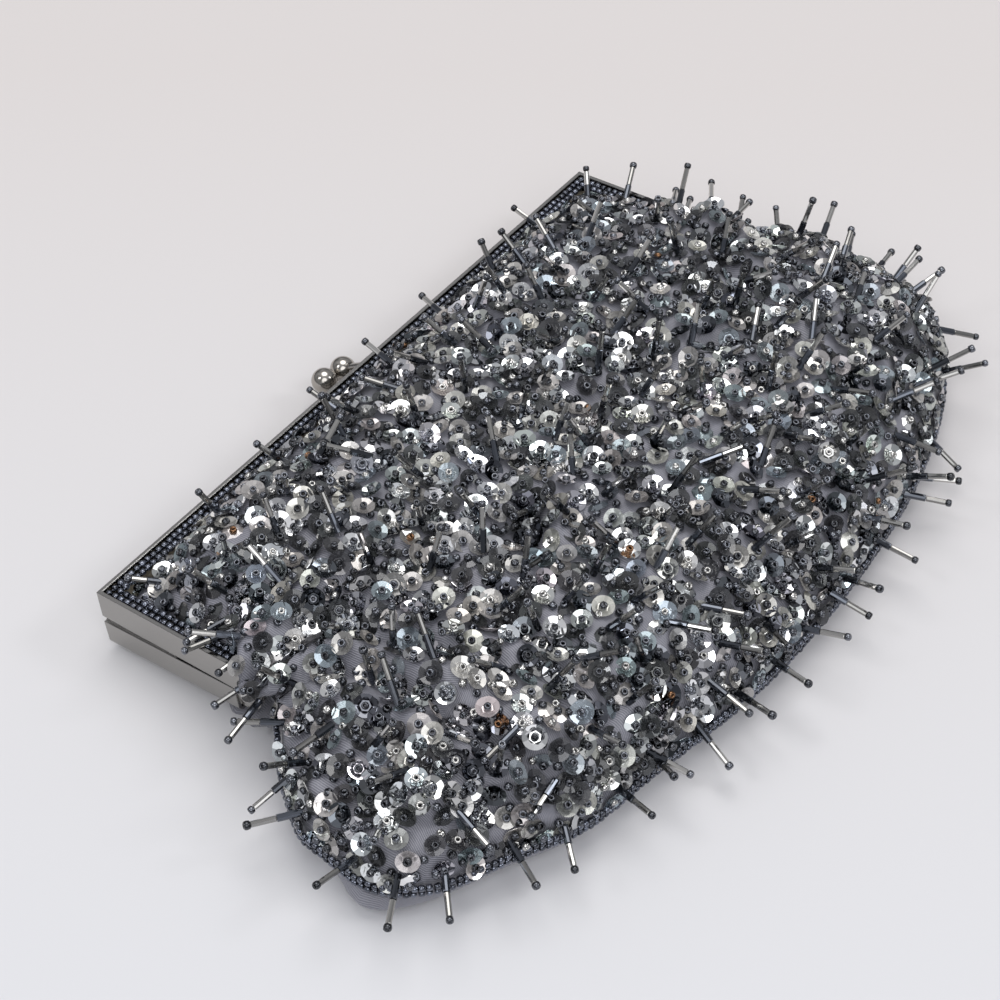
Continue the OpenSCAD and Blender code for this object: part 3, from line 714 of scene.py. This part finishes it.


# The darker colour of each satin is painted shade in its rib grooves, the lighter one painted
# sheen on the crests.
SATIN = satin("lilac_grey_satin", (0.175, 0.175, 0.207), (0.335, 0.335, 0.38))
LINING = satin("dark_lining", (0.05, 0.05, 0.06), (0.085, 0.085, 0.1), rib=0.0003, rough=0.5)
METAL = gunmetal("polished_gunmetal", (0.365, 0.355, 0.34), 0.12)
BALL_METAL = gunmetal("polished_balls", (0.44, 0.415, 0.38), 0.05)
BEAD_GLASS = glass_beads("hematite_glass", 0.95, 0.06, coat=0.5)
BUGLE_GLASS = glass_beads("bugle_glass", 0.9, 0.08, coat=0.6)
THREAD = plain("grey_thread", (0.45, 0.45, 0.47), 0.7)
# The cord's brownish paper colour is darkened as painted shade, for the shadow it lies in under
# the bead rows.
CORD = plain("paper_cord", (0.26, 0.23, 0.18), 0.9)
SMOKE = film("smoke_film", 0.5, 0.08, Alpha=0.72, Coat_Weight=1.0, Coat_Roughness=0.04)
MIRROR = film("mirror_film", 1.0, 0.1)
PEARL = film("pearl_film", 0.6, 0.22, Alpha=0.85, Coat_Weight=0.6, Coat_Roughness=0.08)
CLEAR = film("clear_film", 0.7, 0.08, Alpha=0.6, Coat_Weight=1.0, Coat_Roughness=0.04)
FILMS = [SMOKE, MIRROR, PEARL, CLEAR]

# Cloth
front = front_grid()
front_satin = shell("front_satin", front, SATIN_T, 1, SATIN)
front_lining = shell(
    "front_lining", front_grid(FRONT_LINING_DEPTH, FRONT_LINING_SHARE), LINING_T, 1, LINING)
rear_satin = shell("rear_satin", rear_grid(), SATIN_T, -1, SATIN)
rear_lining = shell(
    "rear_lining_cloth", rear_grid(REAR_LINING_DEPTH, REAR_LINING_SHARE), LINING_T, -1, LINING)

# Places on the front
front_normal = normals_of(front)


def on_front(i, j):
    """Point and outward direction at a fractional row and column of the front's grid."""
    i = np.clip(i, 0, front.shape[0] - 1.001)
    j = np.clip(j, 0, front.shape[1] - 1.001)
    i0, j0 = i.astype(int), j.astype(int)
    a, b = (i - i0)[:, None], (j - j0)[:, None]

    def between(values):
        upper = mix(values[i0, j0], values[i0, j0 + 1], b)
        lower = mix(values[i0 + 1, j0], values[i0 + 1, j0 + 1], b)
        return mix(upper, lower, a)
    return between(front), unit(between(front_normal))


def at_front(s, y):
    """The same for shares of the half width and distances from the hinge axis."""
    return on_front(np.interp(y, FRONT_Y, np.arange(len(FRONT_Y))),
                    np.interp(s, COLUMN_S, np.arange(len(COLUMN_S))))


NEIGHBOURS = [(a, b, c) for a in (-1, 0, 1) for b in (-1, 0, 1) for c in (-1, 0, 1)]
UNDERSIDE = -0.2


def cell_of(p, size):
    return tuple(np.floor(p / size).astype(int))


def close_by(p, points, cells, gap):
    """Whether any of the points, filed by cells as large as the gap, is nearer than that."""
    a, b, c = cell_of(p, gap)
    found = [k for d in NEIGHBOURS for k in cells.get((a + d[0], b + d[1], c + d[2]), ())]
    return bool(found) and (((points[found] - p) ** 2).sum(-1) < gap * gap).any()


def spread(tries, spacing, taken=(), taken_gap=1.0):
    """Points strewn over the front, not under its lips, none closer than the spacing."""
    i = rng.uniform(0, front.shape[0] - 1, tries)
    j = rng.uniform(0, front.shape[1] - 1, tries)
    point, out = on_front(i, j)
    kept, cells, taken_cells = [], {}, {}
    for k, p in enumerate(taken):
        taken_cells.setdefault(cell_of(p, taken_gap), []).append(k)
    for k in np.flatnonzero(out[:, 2] > UNDERSIDE):
        p = point[k]
        if close_by(p, point, cells, spacing) or close_by(p, taken, taken_cells, taken_gap):
            continue
        cells.setdefault(cell_of(p, spacing), []).append(k)
        kept.append(k)
    return point[kept], out[kept]


USUAL_CREASE = 1.5
ARM_END_X, ARM_END_BELOW_Y = 74.0, 8.0
WALL_CLEAR = 0.3
PAST_ARM_RISE = 1.5
BELOW_FLARE_Y = FLARE_Y + 2
SEAM_ROWS_H = 2.2


def off_creases(point, gap):
    """True where a point is clear of every crease's bare satin."""
    clear = np.ones(len(point), bool)
    over_arm_end = (abs(point[:, 0]) > ARM_END_X) & (point[:, 1] < ARM_END_BELOW_Y)
    for line, depth in FRONT_CREASES:
        clear &= (distance_to(point[:, :2], line) > gap * depth / USUAL_CREASE) | over_arm_end
    return clear


def off_border(point, gap):
    """True clear of the frame above the flare, and clear of the seam's rows below it."""
    x, y, z = point.T
    over_wall = z > on_frame(y, HALF_SEAT_GAP + WALL_H + WALL_CLEAR)
    past_arm = (y > ARM_END_Y) & (z > HINGE_H + PAST_ARM_RISE)
    above = (y > TOP_Y + gap) & ((abs(x) < TOP_HALF - gap) | over_wall | past_arm)
    below = z > seam_z(y) - foot_drop(x, y) + SEAM_ROWS_H + gap
    return np.where(y < BELOW_FLARE_Y, above, below)


BORDER_GAP = 0.3


def in_the_clear(at, out, crease_gap):
    """The places that are clear of the creases and the border."""
    keep = off_creases(at, crease_gap) & off_border(at, BORDER_GAP)
    return at[keep], out[keep]


# Sequins. Kinds: share of them all, film by its place in FILMS, and tint.
SEQUIN_KINDS = [
    (0.26, 0, (0.10, 0.103, 0.107)),  # smoke
    (0.26, 1, (0.90, 0.915, 0.92)),  # mirror
    (0.26, 2, (0.72, 0.70, 0.67)),  # pearl
    (0.125, 3, (0.47, 0.545, 0.585)),  # clear
    (0.091, 1, (0.15, 0.16, 0.18)),  # gunmetal
    (0.004, 0, (0.17, 0.105, 0.065)),  # amber
]
KIND_SHARE, KIND_FILM, KIND_TINT = (np.array(column) for column in zip(*SEQUIN_KINDS))
SEQUIN_R = 2.5
SEQUIN_TRIES, SEQUIN_SPACING, SEQUIN_CREASE_GAP = 38000, 3.25, 0.7
SEQUIN_LEAN = 0.25
SEQUIN_LIFT = (0.2, 1.3)
CUPPED_UP = 0.88
BEAD_SIZES = (0.88, 1.06)  # shares of the usual size, of sequins and seed beads
SEQUIN_SHADES, SEQUIN_HUES = (0.55, 1.15), 0.02

sequin_at, sequin_out = in_the_clear(*spread(SEQUIN_TRIES, SEQUIN_SPACING), SEQUIN_CREASE_GAP)
count = len(sequin_at)
sequin_dir = tilted(sequin_out, SEQUIN_LEAN)
sequin_place = sequin_at + sequin_out * rng.uniform(*SEQUIN_LIFT, count)[:, None]
sequin_size = SEQUIN_R * rng.uniform(*BEAD_SIZES, count)
cup = np.where(rng.random(count) < CUPPED_UP, 1.0, -1.0)
kind = rng.choice(len(SEQUIN_KINDS), count, p=KIND_SHARE)
sequin_shape = sequin_template()
placed = copies(
    sequin_shape, sequin_place, frames_on(sequin_dir, rng.uniform(0, math.pi, count)),
    np.stack([sequin_size, sequin_size, sequin_size * cup], -1))
shade = (KIND_TINT[kind] * rng.uniform(*SEQUIN_SHADES, (count, 1))
         * rng.normal(1, SEQUIN_HUES, (count, 3)))
sequins = solid_mesh(
    "sequins", placed, FILMS, flat=True, tint=per_point(shade, sequin_shape),
    which=np.repeat(KIND_FILM[kind], len(sequin_shape[2])))

# Loose beads between the sequins
BEAD_R = 0.95
LOOSE_TRIES, LOOSE_SPACING, LOOSE_CREASE_GAP, LOOSE_SEQUIN_GAP = 16000, 3.4, 0.6, 1.9
loose_at, loose_out = in_the_clear(
    *spread(LOOSE_TRIES, LOOSE_SPACING, sequin_at, LOOSE_SEQUIN_GAP), LOOSE_CREASE_GAP)

# Spikes: two bugle beads and a stop bead on a thread
DARK_R, SILVER_R, THREAD_R = 0.8, 0.66, 0.15
BUGLE_LEN = 5.6
BUGLE_GAP = 0.1
DARK_LENS, SILVER_LENS = (0.72, 1.0), (0.76, 1.0)  # shares of a bugle's length
DARK_TINT, DARK_SHADES = np.array([0.06, 0.067, 0.082]), (0.6, 1.8)
SILVER_TINT, SILVER_SHADES = np.array([0.50, 0.49, 0.47]), (0.35, 1.3)
THREAD_ROOT, THREAD_END = 0.8, 1.0
STOP_BEAD_SEAT = 0.74  # of a bead's radius, from the silver bugle's end
SPIKE_PITCH = 20.0  # of the CAD part's own spikes
SPIKE_EDGE = 5.0
FOLD_ABOVE, FOLD_BELOW = 12.0, 17.0
FIELD_TRIES, FIELD_SPACING, FIELD_OWN_GAP = 6000, 11.0, 8.0
FIELD_BORDER_GAP, FIELD_BAR_GAP, FIELD_SEAM_RISE = 1.5, 10.0, 8.0
EDGE_SPIKE_SPACING = 12.0
EDGE_SPIKE_START = 3.0
EDGE_SPIKE_SHIFT = 0.3  # of the spacing, to either side
EDGE_SPIKE_RISE = 4.5
FAR_SIDE_X, FAR_SIDE_SHARE = -62.0, 0.5
LIP_SPIKES = [(0.955, -13.0), (0.945, -8.5), (0.96, -4.0), (0.94, 0.5), (0.965, 4.0)]
LIP_BACK = -0.25
RIM_RISE, RIM_LEAN = 0.3, 0.2
OUTWARD_X, OUTWARD_FROM_Y, OUTWARD_Y = 1.1, 22.0, 60.0
OUTWARD_SHARE, OUTWARD_ALWAYS = 0.8, 0.5
AT_EDGE_STEP = (2.0, 14.0)
EDGE_LEAN, FIELD_LEAN = 0.22, 0.55
LEAST_RISE = 0.22
BAR_SHORTER, BESIDE_BAR_STEP = 0.3, (6.0, 8.0)


def spike_lattice(start, end, row_count):
    """The CAD part's own spikes, as shares of the half width and rows."""
    found = []
    reach = math.ceil(HALF_BAG / SPIKE_PITCH) + 1
    for r in range(row_count):
        y = mix(start, end, r / (row_count - 1))
        half = float(bag_half(y))
        for c in range(-reach, reach + 1):
            x = (c + (r % 2) / 2) * SPIKE_PITCH
            if abs(x) < half - SPIKE_EDGE:
                found.append((x / half, y))
    return found


def field_roots():
    """Roots on the front: the CAD part's own, and more between them."""
    lattice = np.array(spike_lattice(FOLD_BELOW + SPIKE_EDGE + 1, FOOT_Y - SPIKE_EDGE, 6)
                       + spike_lattice(TOP_Y + SPIKE_EDGE, -FOLD_ABOVE - 2 * SPIKE_EDGE, 2))
    own_at, own_out = at_front(lattice[:, 0], lattice[:, 1])
    more_at, more_out = spread(FIELD_TRIES, FIELD_SPACING, own_at, FIELD_OWN_GAP)
    _, y, z = more_at.T
    keep = (off_border(more_at, FIELD_BORDER_GAP) & (y > TOP_Y + FIELD_BAR_GAP)
            & ((y < 0) | (z > seam_z(y) + FIELD_SEAM_RISE)))
    return joined([own_at, more_at[keep]]), joined([own_out, more_out[keep]])


def round_the_edge():
    """Points above the seam, from the near arm round the foot to the far one."""
    x, y, z = np.moveaxis(front, -1, 0)
    high = z - seam_z(y) + foot_drop(x, y) >= EDGE_SPIKE_RISE
    level = np.flatnonzero((FRONT_Y > BELOW_FLARE_Y) & high.any(1))
    first = high[level].argmax(1)
    last = high.shape[1] - 1 - high[level, ::-1].argmax(1)
    i, j = joined([level, level[::-1]]), joined([last, first[::-1]])
    run = run_along(front[i, j])
    where = np.arange(EDGE_SPIKE_START, run[-1], EDGE_SPIKE_SPACING)
    shift = rng.uniform(-EDGE_SPIKE_SHIFT, EDGE_SPIKE_SHIFT, len(where))
    where = where + shift * EDGE_SPIKE_SPACING
    return on_front(np.interp(where, run, i), np.interp(where, run, j))


def rim_roots():
    """Roots round the edge and on the lips by the arms, and their spikes' ways."""
    edge_at, edge_out = round_the_edge()
    shown = (edge_at[:, 0] > FAR_SIDE_X) | (rng.random(len(edge_at)) < FAR_SIDE_SHARE)
    edge_at, edge_out = edge_at[shown], edge_out[shown]
    lip = np.array([(side * s, y) for side in (1, -1) for s, y in LIP_SPIKES])
    lip_at, lip_out = at_front(lip[:, 0], lip[:, 1])
    lip_way = np.stack([np.sign(lip[:, 0]), np.full(len(lip), LIP_BACK)], -1)
    ways = unit(joined([edge_out[:, :2], lip_way]))
    rises = rng.uniform(-RIM_RISE, RIM_RISE, (len(ways), 1))
    return (joined([edge_at, lip_at]), joined([edge_out, lip_out]),
            unit(joined([ways, rises], 1)))


def field_ways(root, out):
    """Ways of the spikes on the front: out of it and away from its middle."""
    x, y, _ = root.T
    outward = np.stack([x / HALF_BAG * OUTWARD_X, (y - OUTWARD_FROM_Y) / OUTWARD_Y, 0 * x], -1)
    edge_gap = np.minimum(np.minimum(bag_half(y) - abs(x), y - TOP_Y), FOOT_Y - y)
    at_edge = 1 - step(edge_gap, *AT_EDGE_STEP)
    ways = unit(out + OUTWARD_SHARE * outward * (OUTWARD_ALWAYS + at_edge[:, None]))
    return tilted(ways, np.where(at_edge > 0.5, EDGE_LEAN, FIELD_LEAN))


field_at, field_out = field_roots()
rim_at, rim_out, rim_way = rim_roots()
root, out = joined([field_at, rim_at]), joined([field_out, rim_out])
way = joined([field_ways(field_at, field_out), tilted(rim_way, RIM_LEAN)])
way = unit(way + out * np.maximum(0, LEAST_RISE - (way * out).sum(-1))[:, None])
spikes = len(root)
foot = root + out * (DARK_R + BUGLE_GAP)
turns = frames_on(way, rng.uniform(0, math.pi, spikes))
beside_bar = 1 - BAR_SHORTER * (1 - step(root[:, 1] - TOP_Y, *BESIDE_BAR_STEP))
near_len = BUGLE_LEN * rng.uniform(*DARK_LENS, spikes) * beside_bar
far_len = BUGLE_LEN * rng.uniform(*SILVER_LENS, spikes) * beside_bar
far_foot = foot + way * (near_len + BUGLE_GAP)[:, None]
tip = far_foot + way * (far_len + BEAD_R * STOP_BEAD_SEAT)[:, None]


def along_spikes(template, places, lengths, radius):
    """Copies of a long template along the spikes."""
    around = np.full(spikes, radius)
    return copies(template, places, turns, np.stack([around, around, lengths], -1))


def bugles(name, places, lengths, radius, tints):
    template = bugle_template()
    placed = along_spikes(template, places, lengths, radius)
    return solid_mesh(name, placed, [BUGLE_GLASS], flat=True, tint=per_point(tints, template))


dark_tints = DARK_TINT * rng.uniform(*DARK_SHADES, (spikes, 1))
silver_tints = SILVER_TINT * rng.uniform(*SILVER_SHADES, (spikes, 1))
dark_bugles = bugles("dark_bugles", foot, near_len, DARK_R, dark_tints)
silver_bugles = bugles("silver_bugles", far_foot, far_len, SILVER_R, silver_tints)
placed = along_spikes(rod_template(), foot - way * THREAD_ROOT,
                      near_len + far_len + THREAD_END + THREAD_ROOT, THREAD_R)
threads = solid_mesh("bead_threads", placed, [THREAD])

# Seed beads on the sequins, between them and at the spikes' ends
HEMATITE_TINT, HEMATITE_SHADES = np.array([0.095, 0.10, 0.114]), (0.4, 1.8)
SILVER_BEAD_TINT, SILVER_BEAD_SHADES = np.array([0.58, 0.57, 0.55]), (0.7, 1.2)
AMBER_BEAD_TINT = np.array([0.22, 0.11, 0.05])
SILVER_BEAD_FROM, AMBER_BEAD_FROM = 0.86, 0.995
SEAT_CUPPED, SEAT_DOMED = 0.62, 0.4
LOOSE_LIFT, LOOSE_LEAN = (0.5, 1.0), 0.9


def seed_bead_mesh(name, at, axis, template, palest=1.0):
    """Hematite beads, a few silver and amber unless palest leaves them out."""
    n = len(at)
    size = BEAD_R * rng.uniform(*BEAD_SIZES, n)
    kind = rng.random(n)[:, None] * palest
    tint = HEMATITE_TINT * rng.uniform(*HEMATITE_SHADES, (n, 1))
    silver = SILVER_BEAD_TINT * rng.uniform(*SILVER_BEAD_SHADES, (n, 1))
    tint = np.where(kind > SILVER_BEAD_FROM, silver, tint)
    tint = np.where(kind > AMBER_BEAD_FROM, AMBER_BEAD_TINT, tint)
    placed = copies(template, at, frames_on(axis, rng.uniform(0, 3, n)),
                    np.repeat(size[:, None], 3, 1))
    return solid_mesh(name, placed, [BEAD_GLASS], tint=per_point(tint, template))


bead_shape = bead_template()
seat = np.where(cup > 0, SEAT_CUPPED, SEAT_DOMED)[:, None]
sequin_beads = seed_bead_mesh("sequin_beads", sequin_place + sequin_dir * seat,
                              tilted(sequin_dir, SEQUIN_LEAN), bead_template(10, 6))
loose_place = loose_at + loose_out * rng.uniform(*LOOSE_LIFT, (len(loose_at), 1))
loose_beads = seed_bead_mesh("loose_beads", loose_place, tilted(loose_out, LOOSE_LEAN),
                             bead_shape)
stop_beads = seed_bead_mesh("stop_beads", tip, way, bead_shape, palest=SILVER_BEAD_FROM)

# Rows of small beads
ROW_SCATTER, ROW_LEAN, ROW_SIZES, ROW_LONGER = 0.05, 0.12, (0.93, 1.05), 1.2
ROW_TINT, ROW_SHADES = np.array([0.12, 0.13, 0.16]), (0.6, 1.6)
ROW_Z = HINGE_H + HALF_SEAT_GAP + WALL_H - ROW_R
ROW_END_Y = ARM_END_Y - 0.6
SEAM_BEAD_SHARE, SEAM_PITCH_SHARE = 0.88, 0.9
SEAM_SAMPLE = 0.6


def strung(name, lines, share=1.0):
    """Beads strung along lines of places, each turned to its neighbours."""
    axis = joined([unit(np.gradient(line, axis=0)) for line in lines])
    at = joined(lines)
    n = len(at)
    at = at + rng.normal(size=(n, 3)) * ROW_SCATTER
    axis = tilted(axis, ROW_LEAN)
    size = share * ROW_R * rng.uniform(*ROW_SIZES, n)
    placed = copies(bead_shape, at, frames_on(axis, rng.uniform(0, 3, n)),
                    np.stack([size, size, size * ROW_LONGER], -1))
    tint = ROW_TINT * rng.uniform(*ROW_SHADES, (n, 1))
    return solid_mesh(name, placed, [BEAD_GLASS], tint=per_point(tint, bead_shape))


def about_hinge(points, angle):
    c, s = math.cos(angle), math.sin(angle)
    y, z = points[:, 1], points[:, 2] - HINGE_H
    return np.stack([points[:, 0], y * c - z * s, HINGE_H + y * s + z * c], -1)


def channel_row(u):
    """The line round the front channel at a distance inside its outer face."""
    x, y, z = HALF_FRAME - u, u - ARM_LEN, ROW_Z
    corners = np.array([(x, ROW_END_Y, z), (x, y, z), (-x, y, z), (-x, ROW_END_Y, z)])
    sides = [resampled(corners[k:k + 2], ROW_PITCH) for k in range(3)]
    return joined([sides[0][:-1], sides[1][:-1], sides[2]])


frame_bead_rows = strung("frame_bead_rows", [
    about_hinge(channel_row(u), PITCH - SHUT_TILT) for u in (ROW_OUTER_U, ROW_INNER_U)])

below_flare = FRONT_Y > BELOW_FLARE_Y
border = joined([front[below_flare, -1], front[-1, ::-1], front[below_flare, 0][::-1]])
border = resampled(border, SEAM_SAMPLE)
along = unit(np.gradient(border, axis=0))
aside = unit(np.stack([along[:, 1], -along[:, 0], 0 * along[:, 0]], -1))
seam_rows = []
for up in (0.0, 2 * ROW_R + ROW_GAP):
    line = border + aside * (ROW_R + ROW_GAP)
    line[:, 2] += up
    seam_rows.append(resampled(line, SEAM_PITCH_SHARE * ROW_PITCH))
seam_bead_rows = strung("seam_bead_rows", seam_rows, SEAM_BEAD_SHARE)

# Twisted paper cord in each channel
CORD_R = 1.5
CORD_END_Y = ARM_END_Y - 6.2
CORD_BEND_R = 2.2
CORD_STEP, CORD_AROUND = 0.9, 16
STRANDS, STRAND_H, STRAND_LAY = 3, 0.06, 9.0


def cord_path(z):
    """The cord's middle line, round the two corners of the channel."""
    reach = HALF_FRAME - SHEET_T - ROW_GAP - CORD_R
    low = SHEET_T + ROW_GAP + CORD_R - ARM_LEN
    corner = [(reach - CORD_BEND_R * (1 - math.cos(t)),
               low + CORD_BEND_R - CORD_BEND_R * math.sin(t), z)
              for t in np.linspace(0, math.pi / 2, 7)]
    half = [(reach, CORD_END_Y, z)] + corner
    return np.array(half + [(-x, y, z) for x, y, z in half[::-1]], float)


def twisted_cord(name, z, tilt):
    line = resampled(about_hinge(cord_path(z), tilt), CORD_STEP)
    along = unit(np.gradient(line, axis=0))
    side = unit(np.cross(along, [0, 0, 1.0]))
    up = np.cross(side, along)
    t = np.arange(CORD_AROUND) * TURN / CORD_AROUND
    twist = np.arange(len(line)) * CORD_STEP * TURN / STRAND_LAY
    strands = np.cos(STRANDS * (t[None, :] + twist[:, None]))
    swell = CORD_R * (1 - STRAND_H + STRAND_H * strands)
    around = (np.cos(t)[None, :, None] * side[:, None]
              + np.sin(t)[None, :, None] * up[:, None])
    ring = (line[:, None] + swell[..., None] * around).reshape(-1, 3)
    faces, last = [], (len(line) - 1) * CORD_AROUND
    for a in range(0, last, CORD_AROUND):
        faces += [f[::-1] for f in ring_faces(a, a + CORD_AROUND, CORD_AROUND)]
    faces += [list(range(CORD_AROUND)), list(range(last, last + CORD_AROUND))[::-1]]
    return solid_mesh(name, template_of([ring], faces), [CORD])


front_cord = twisted_cord("front_cord", HINGE_H + HALF_SEAT_GAP + SHEET_T + ROW_GAP + CORD_R,
                          PITCH - SHUT_TILT)
rear_cord = twisted_cord("rear_cord", HINGE_H - HALF_SEAT_GAP - WALL_H / 2, PITCH)

# The metal keeps the CAD part's shapes and is given its finish
for metal, names in ((METAL, ("rear_frame", "front_frame", "hinge_rivets",
                              "rear_lock_stem", "front_lock_stem")),
                     (BALL_METAL, ("rear_lock_ball", "front_lock_ball"))):
    for name in names:
        frame["nodes"][name].data.materials.clear()
        frame["nodes"][name].data.materials.append(metal)

# What each piece rides on, and the CAD parts that the pieces stand in for, hidden
for piece in (front_satin, front_lining, sequins, sequin_beads, loose_beads, stop_beads,
              dark_bugles, silver_bugles, threads, seam_bead_rows):
    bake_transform(piece)
for piece in (rear_satin, rear_lining, rear_cord):
    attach(piece, "rear_half")
for piece in (frame_bead_rows, front_cord):
    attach(piece, "front_half")
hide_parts("front_panel_lower", "front_panel_fold", "front_panel_upper",
            "front_wadding_lower", "front_wadding_upper")
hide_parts("front_lining_lower", "front_lining_fold", "front_lining_upper")
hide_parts("rear_panel", "rear_stiffener")
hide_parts("rear_lining")
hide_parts("front_channel_cord")
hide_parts("rear_channel_cord")
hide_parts("frame_beads_outer", "frame_beads_inner")
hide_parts("seam_beads_outer", "seam_beads_inner")
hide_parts("lower_sequins_field", "upper_sequins_field")
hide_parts("lower_sequin_beads", "upper_sequin_beads")
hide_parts("lower_stop_beads", "upper_stop_beads")
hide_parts("lower_bugles_dark", "upper_bugles_dark")
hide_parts("lower_bugles_silver", "upper_bugles_silver")
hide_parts("lower_threads", "upper_threads")

# Camera at the photograph's place: where it looks, from how far and how it is turned
PHOTO_PX = 1000
FOCAL_PX = 2226.5
AZIMUTH, ELEVATION, ROLL = math.radians(-125.29), math.radians(47.08), math.radians(-1.52)
TARGET = Vector((10.5, 6.3, 10.0))
DISTANCE = 506.4
SENSOR = 36.0
ahead = Vector((math.cos(ELEVATION) * math.sin(AZIMUTH),
                math.cos(ELEVATION) * math.cos(AZIMUTH), -math.sin(ELEVATION)))
right = ahead.cross(Vector((0, 0, 1))).normalized()
below = ahead.cross(right)
right_turned = right * math.cos(ROLL) + below * math.sin(ROLL)
below_turned = below * math.cos(ROLL) - right * math.sin(ROLL)
lens = bpy.data.cameras.new("camera")
lens.sensor_width = SENSOR
lens.lens = FOCAL_PX / PHOTO_PX * SENSOR
camera = bpy.data.objects.new("camera", lens)
turned = Matrix((right_turned, -below_turned, -ahead)).transposed().to_4x4()
turned.translation = (TARGET - ahead * DISTANCE) * MM
camera.matrix_world = turned
bpy.context.scene.collection.objects.link(camera)
bpy.context.scene.camera = camera

# Stage, in metres: a pale floor, soft lamps and a bright world, a little uneven
FLOOR_HALF = 12.0
# Painted light across the floor: a warmer, darker tone on one side and a cooler, lighter one on
# the other.
FLOOR_WARM, FLOOR_COOL = (0.695, 0.658, 0.645), (0.725, 0.727, 0.748)
FLOOR_TURN, FLOOR_SCALE, FLOOR_REACH = math.radians(-35), 2.2, 0.35
LAMP_AIM = Vector((0, 0.02, 0.01))
WORLD_LOW, WORLD_HIGH = (0.26, 0.27, 0.29), (0.88, 0.89, 0.93)
WORLD_FROM_Z, WORLD_TO_Z = -0.1, 0.9
WORLD_STRENGTH = (0.25, 0.85)


def floor_material():
    """Pale grey, from warm to cool as in the photograph, as painted light: warmer and darker on
    one side, cooler and lighter on the other.
    """
    material, tree, shader = new_material(
        "pale_floor", Roughness=0.75, Specular_IOR_Level=0.2)
    place = node(tree, "TexCoord")
    slide = node(tree, "Mapping", Rotation=(0, 0, FLOOR_TURN),
                 Scale=(FLOOR_SCALE, FLOOR_SCALE, FLOOR_SCALE))
    tree.links.new(place.outputs["Object"], slide.inputs["Vector"])
    across = part_of(tree, slide.outputs["Vector"], "X")
    across = map_range(tree, across, -FLOOR_REACH, FLOOR_REACH)
    paint(tree, shader, two_tone(tree, across, FLOOR_WARM, FLOOR_COOL))
    return material


floor_mesh = bpy.data.meshes.new("floor")
floor_mesh.from_pydata([(x * FLOOR_HALF, y * FLOOR_HALF, 0)
                        for x, y in ((-1, -1), (1, -1), (1, 1), (-1, 1))], [], [(0, 1, 2, 3)])
floor = link("floor", floor_mesh, [floor_material()])


def lamp(name, place, size, watts, colour):
    light = bpy.data.lights.new(name, "AREA")
    light.shape = "DISK"
    light.size = size
    light.energy = watts
    light.color = colour
    obj = bpy.data.objects.new(name, light)
    obj.location = place
    obj.rotation_euler = (LAMP_AIM - Vector(place)).to_track_quat("-Z", "Y").to_euler()
    bpy.context.scene.collection.objects.link(obj)


lamp("key", (-0.5, -0.35, 2.2), 1.7, 20.0, (1.0, 0.985, 0.965))
lamp("near_fill", (1.15, 1.0, 1.6), 1.8, 15.0, (0.97, 0.98, 1.0))
lamp("fill", (1.0, -0.7, 1.3), 0.4, 3.5, (0.95, 0.97, 1.0))
lamp("side", (-0.7, 1.1, 1.2), 0.4, 3.5, (0.95, 0.97, 1.0))

world = bpy.data.worlds.new("studio")
bpy.context.scene.world = world
world.use_nodes = True
tree = world.node_tree
background = tree.nodes["Background"]
up_in_sky = part_of(tree, node(tree, "TexCoord").outputs["Generated"], "Z")
up_in_sky = map_range(tree, up_in_sky, WORLD_FROM_Z, WORLD_TO_Z)
tree.links.new(two_tone(tree, up_in_sky, WORLD_LOW, WORLD_HIGH), background.inputs["Color"])
tree.links.new(ramp(tree, noise(tree, 2.4, 1.5, coords="Generated"), *WORLD_STRENGTH),
               background.inputs["Strength"])

bpy.context.scene.view_settings.view_transform = "Standard"
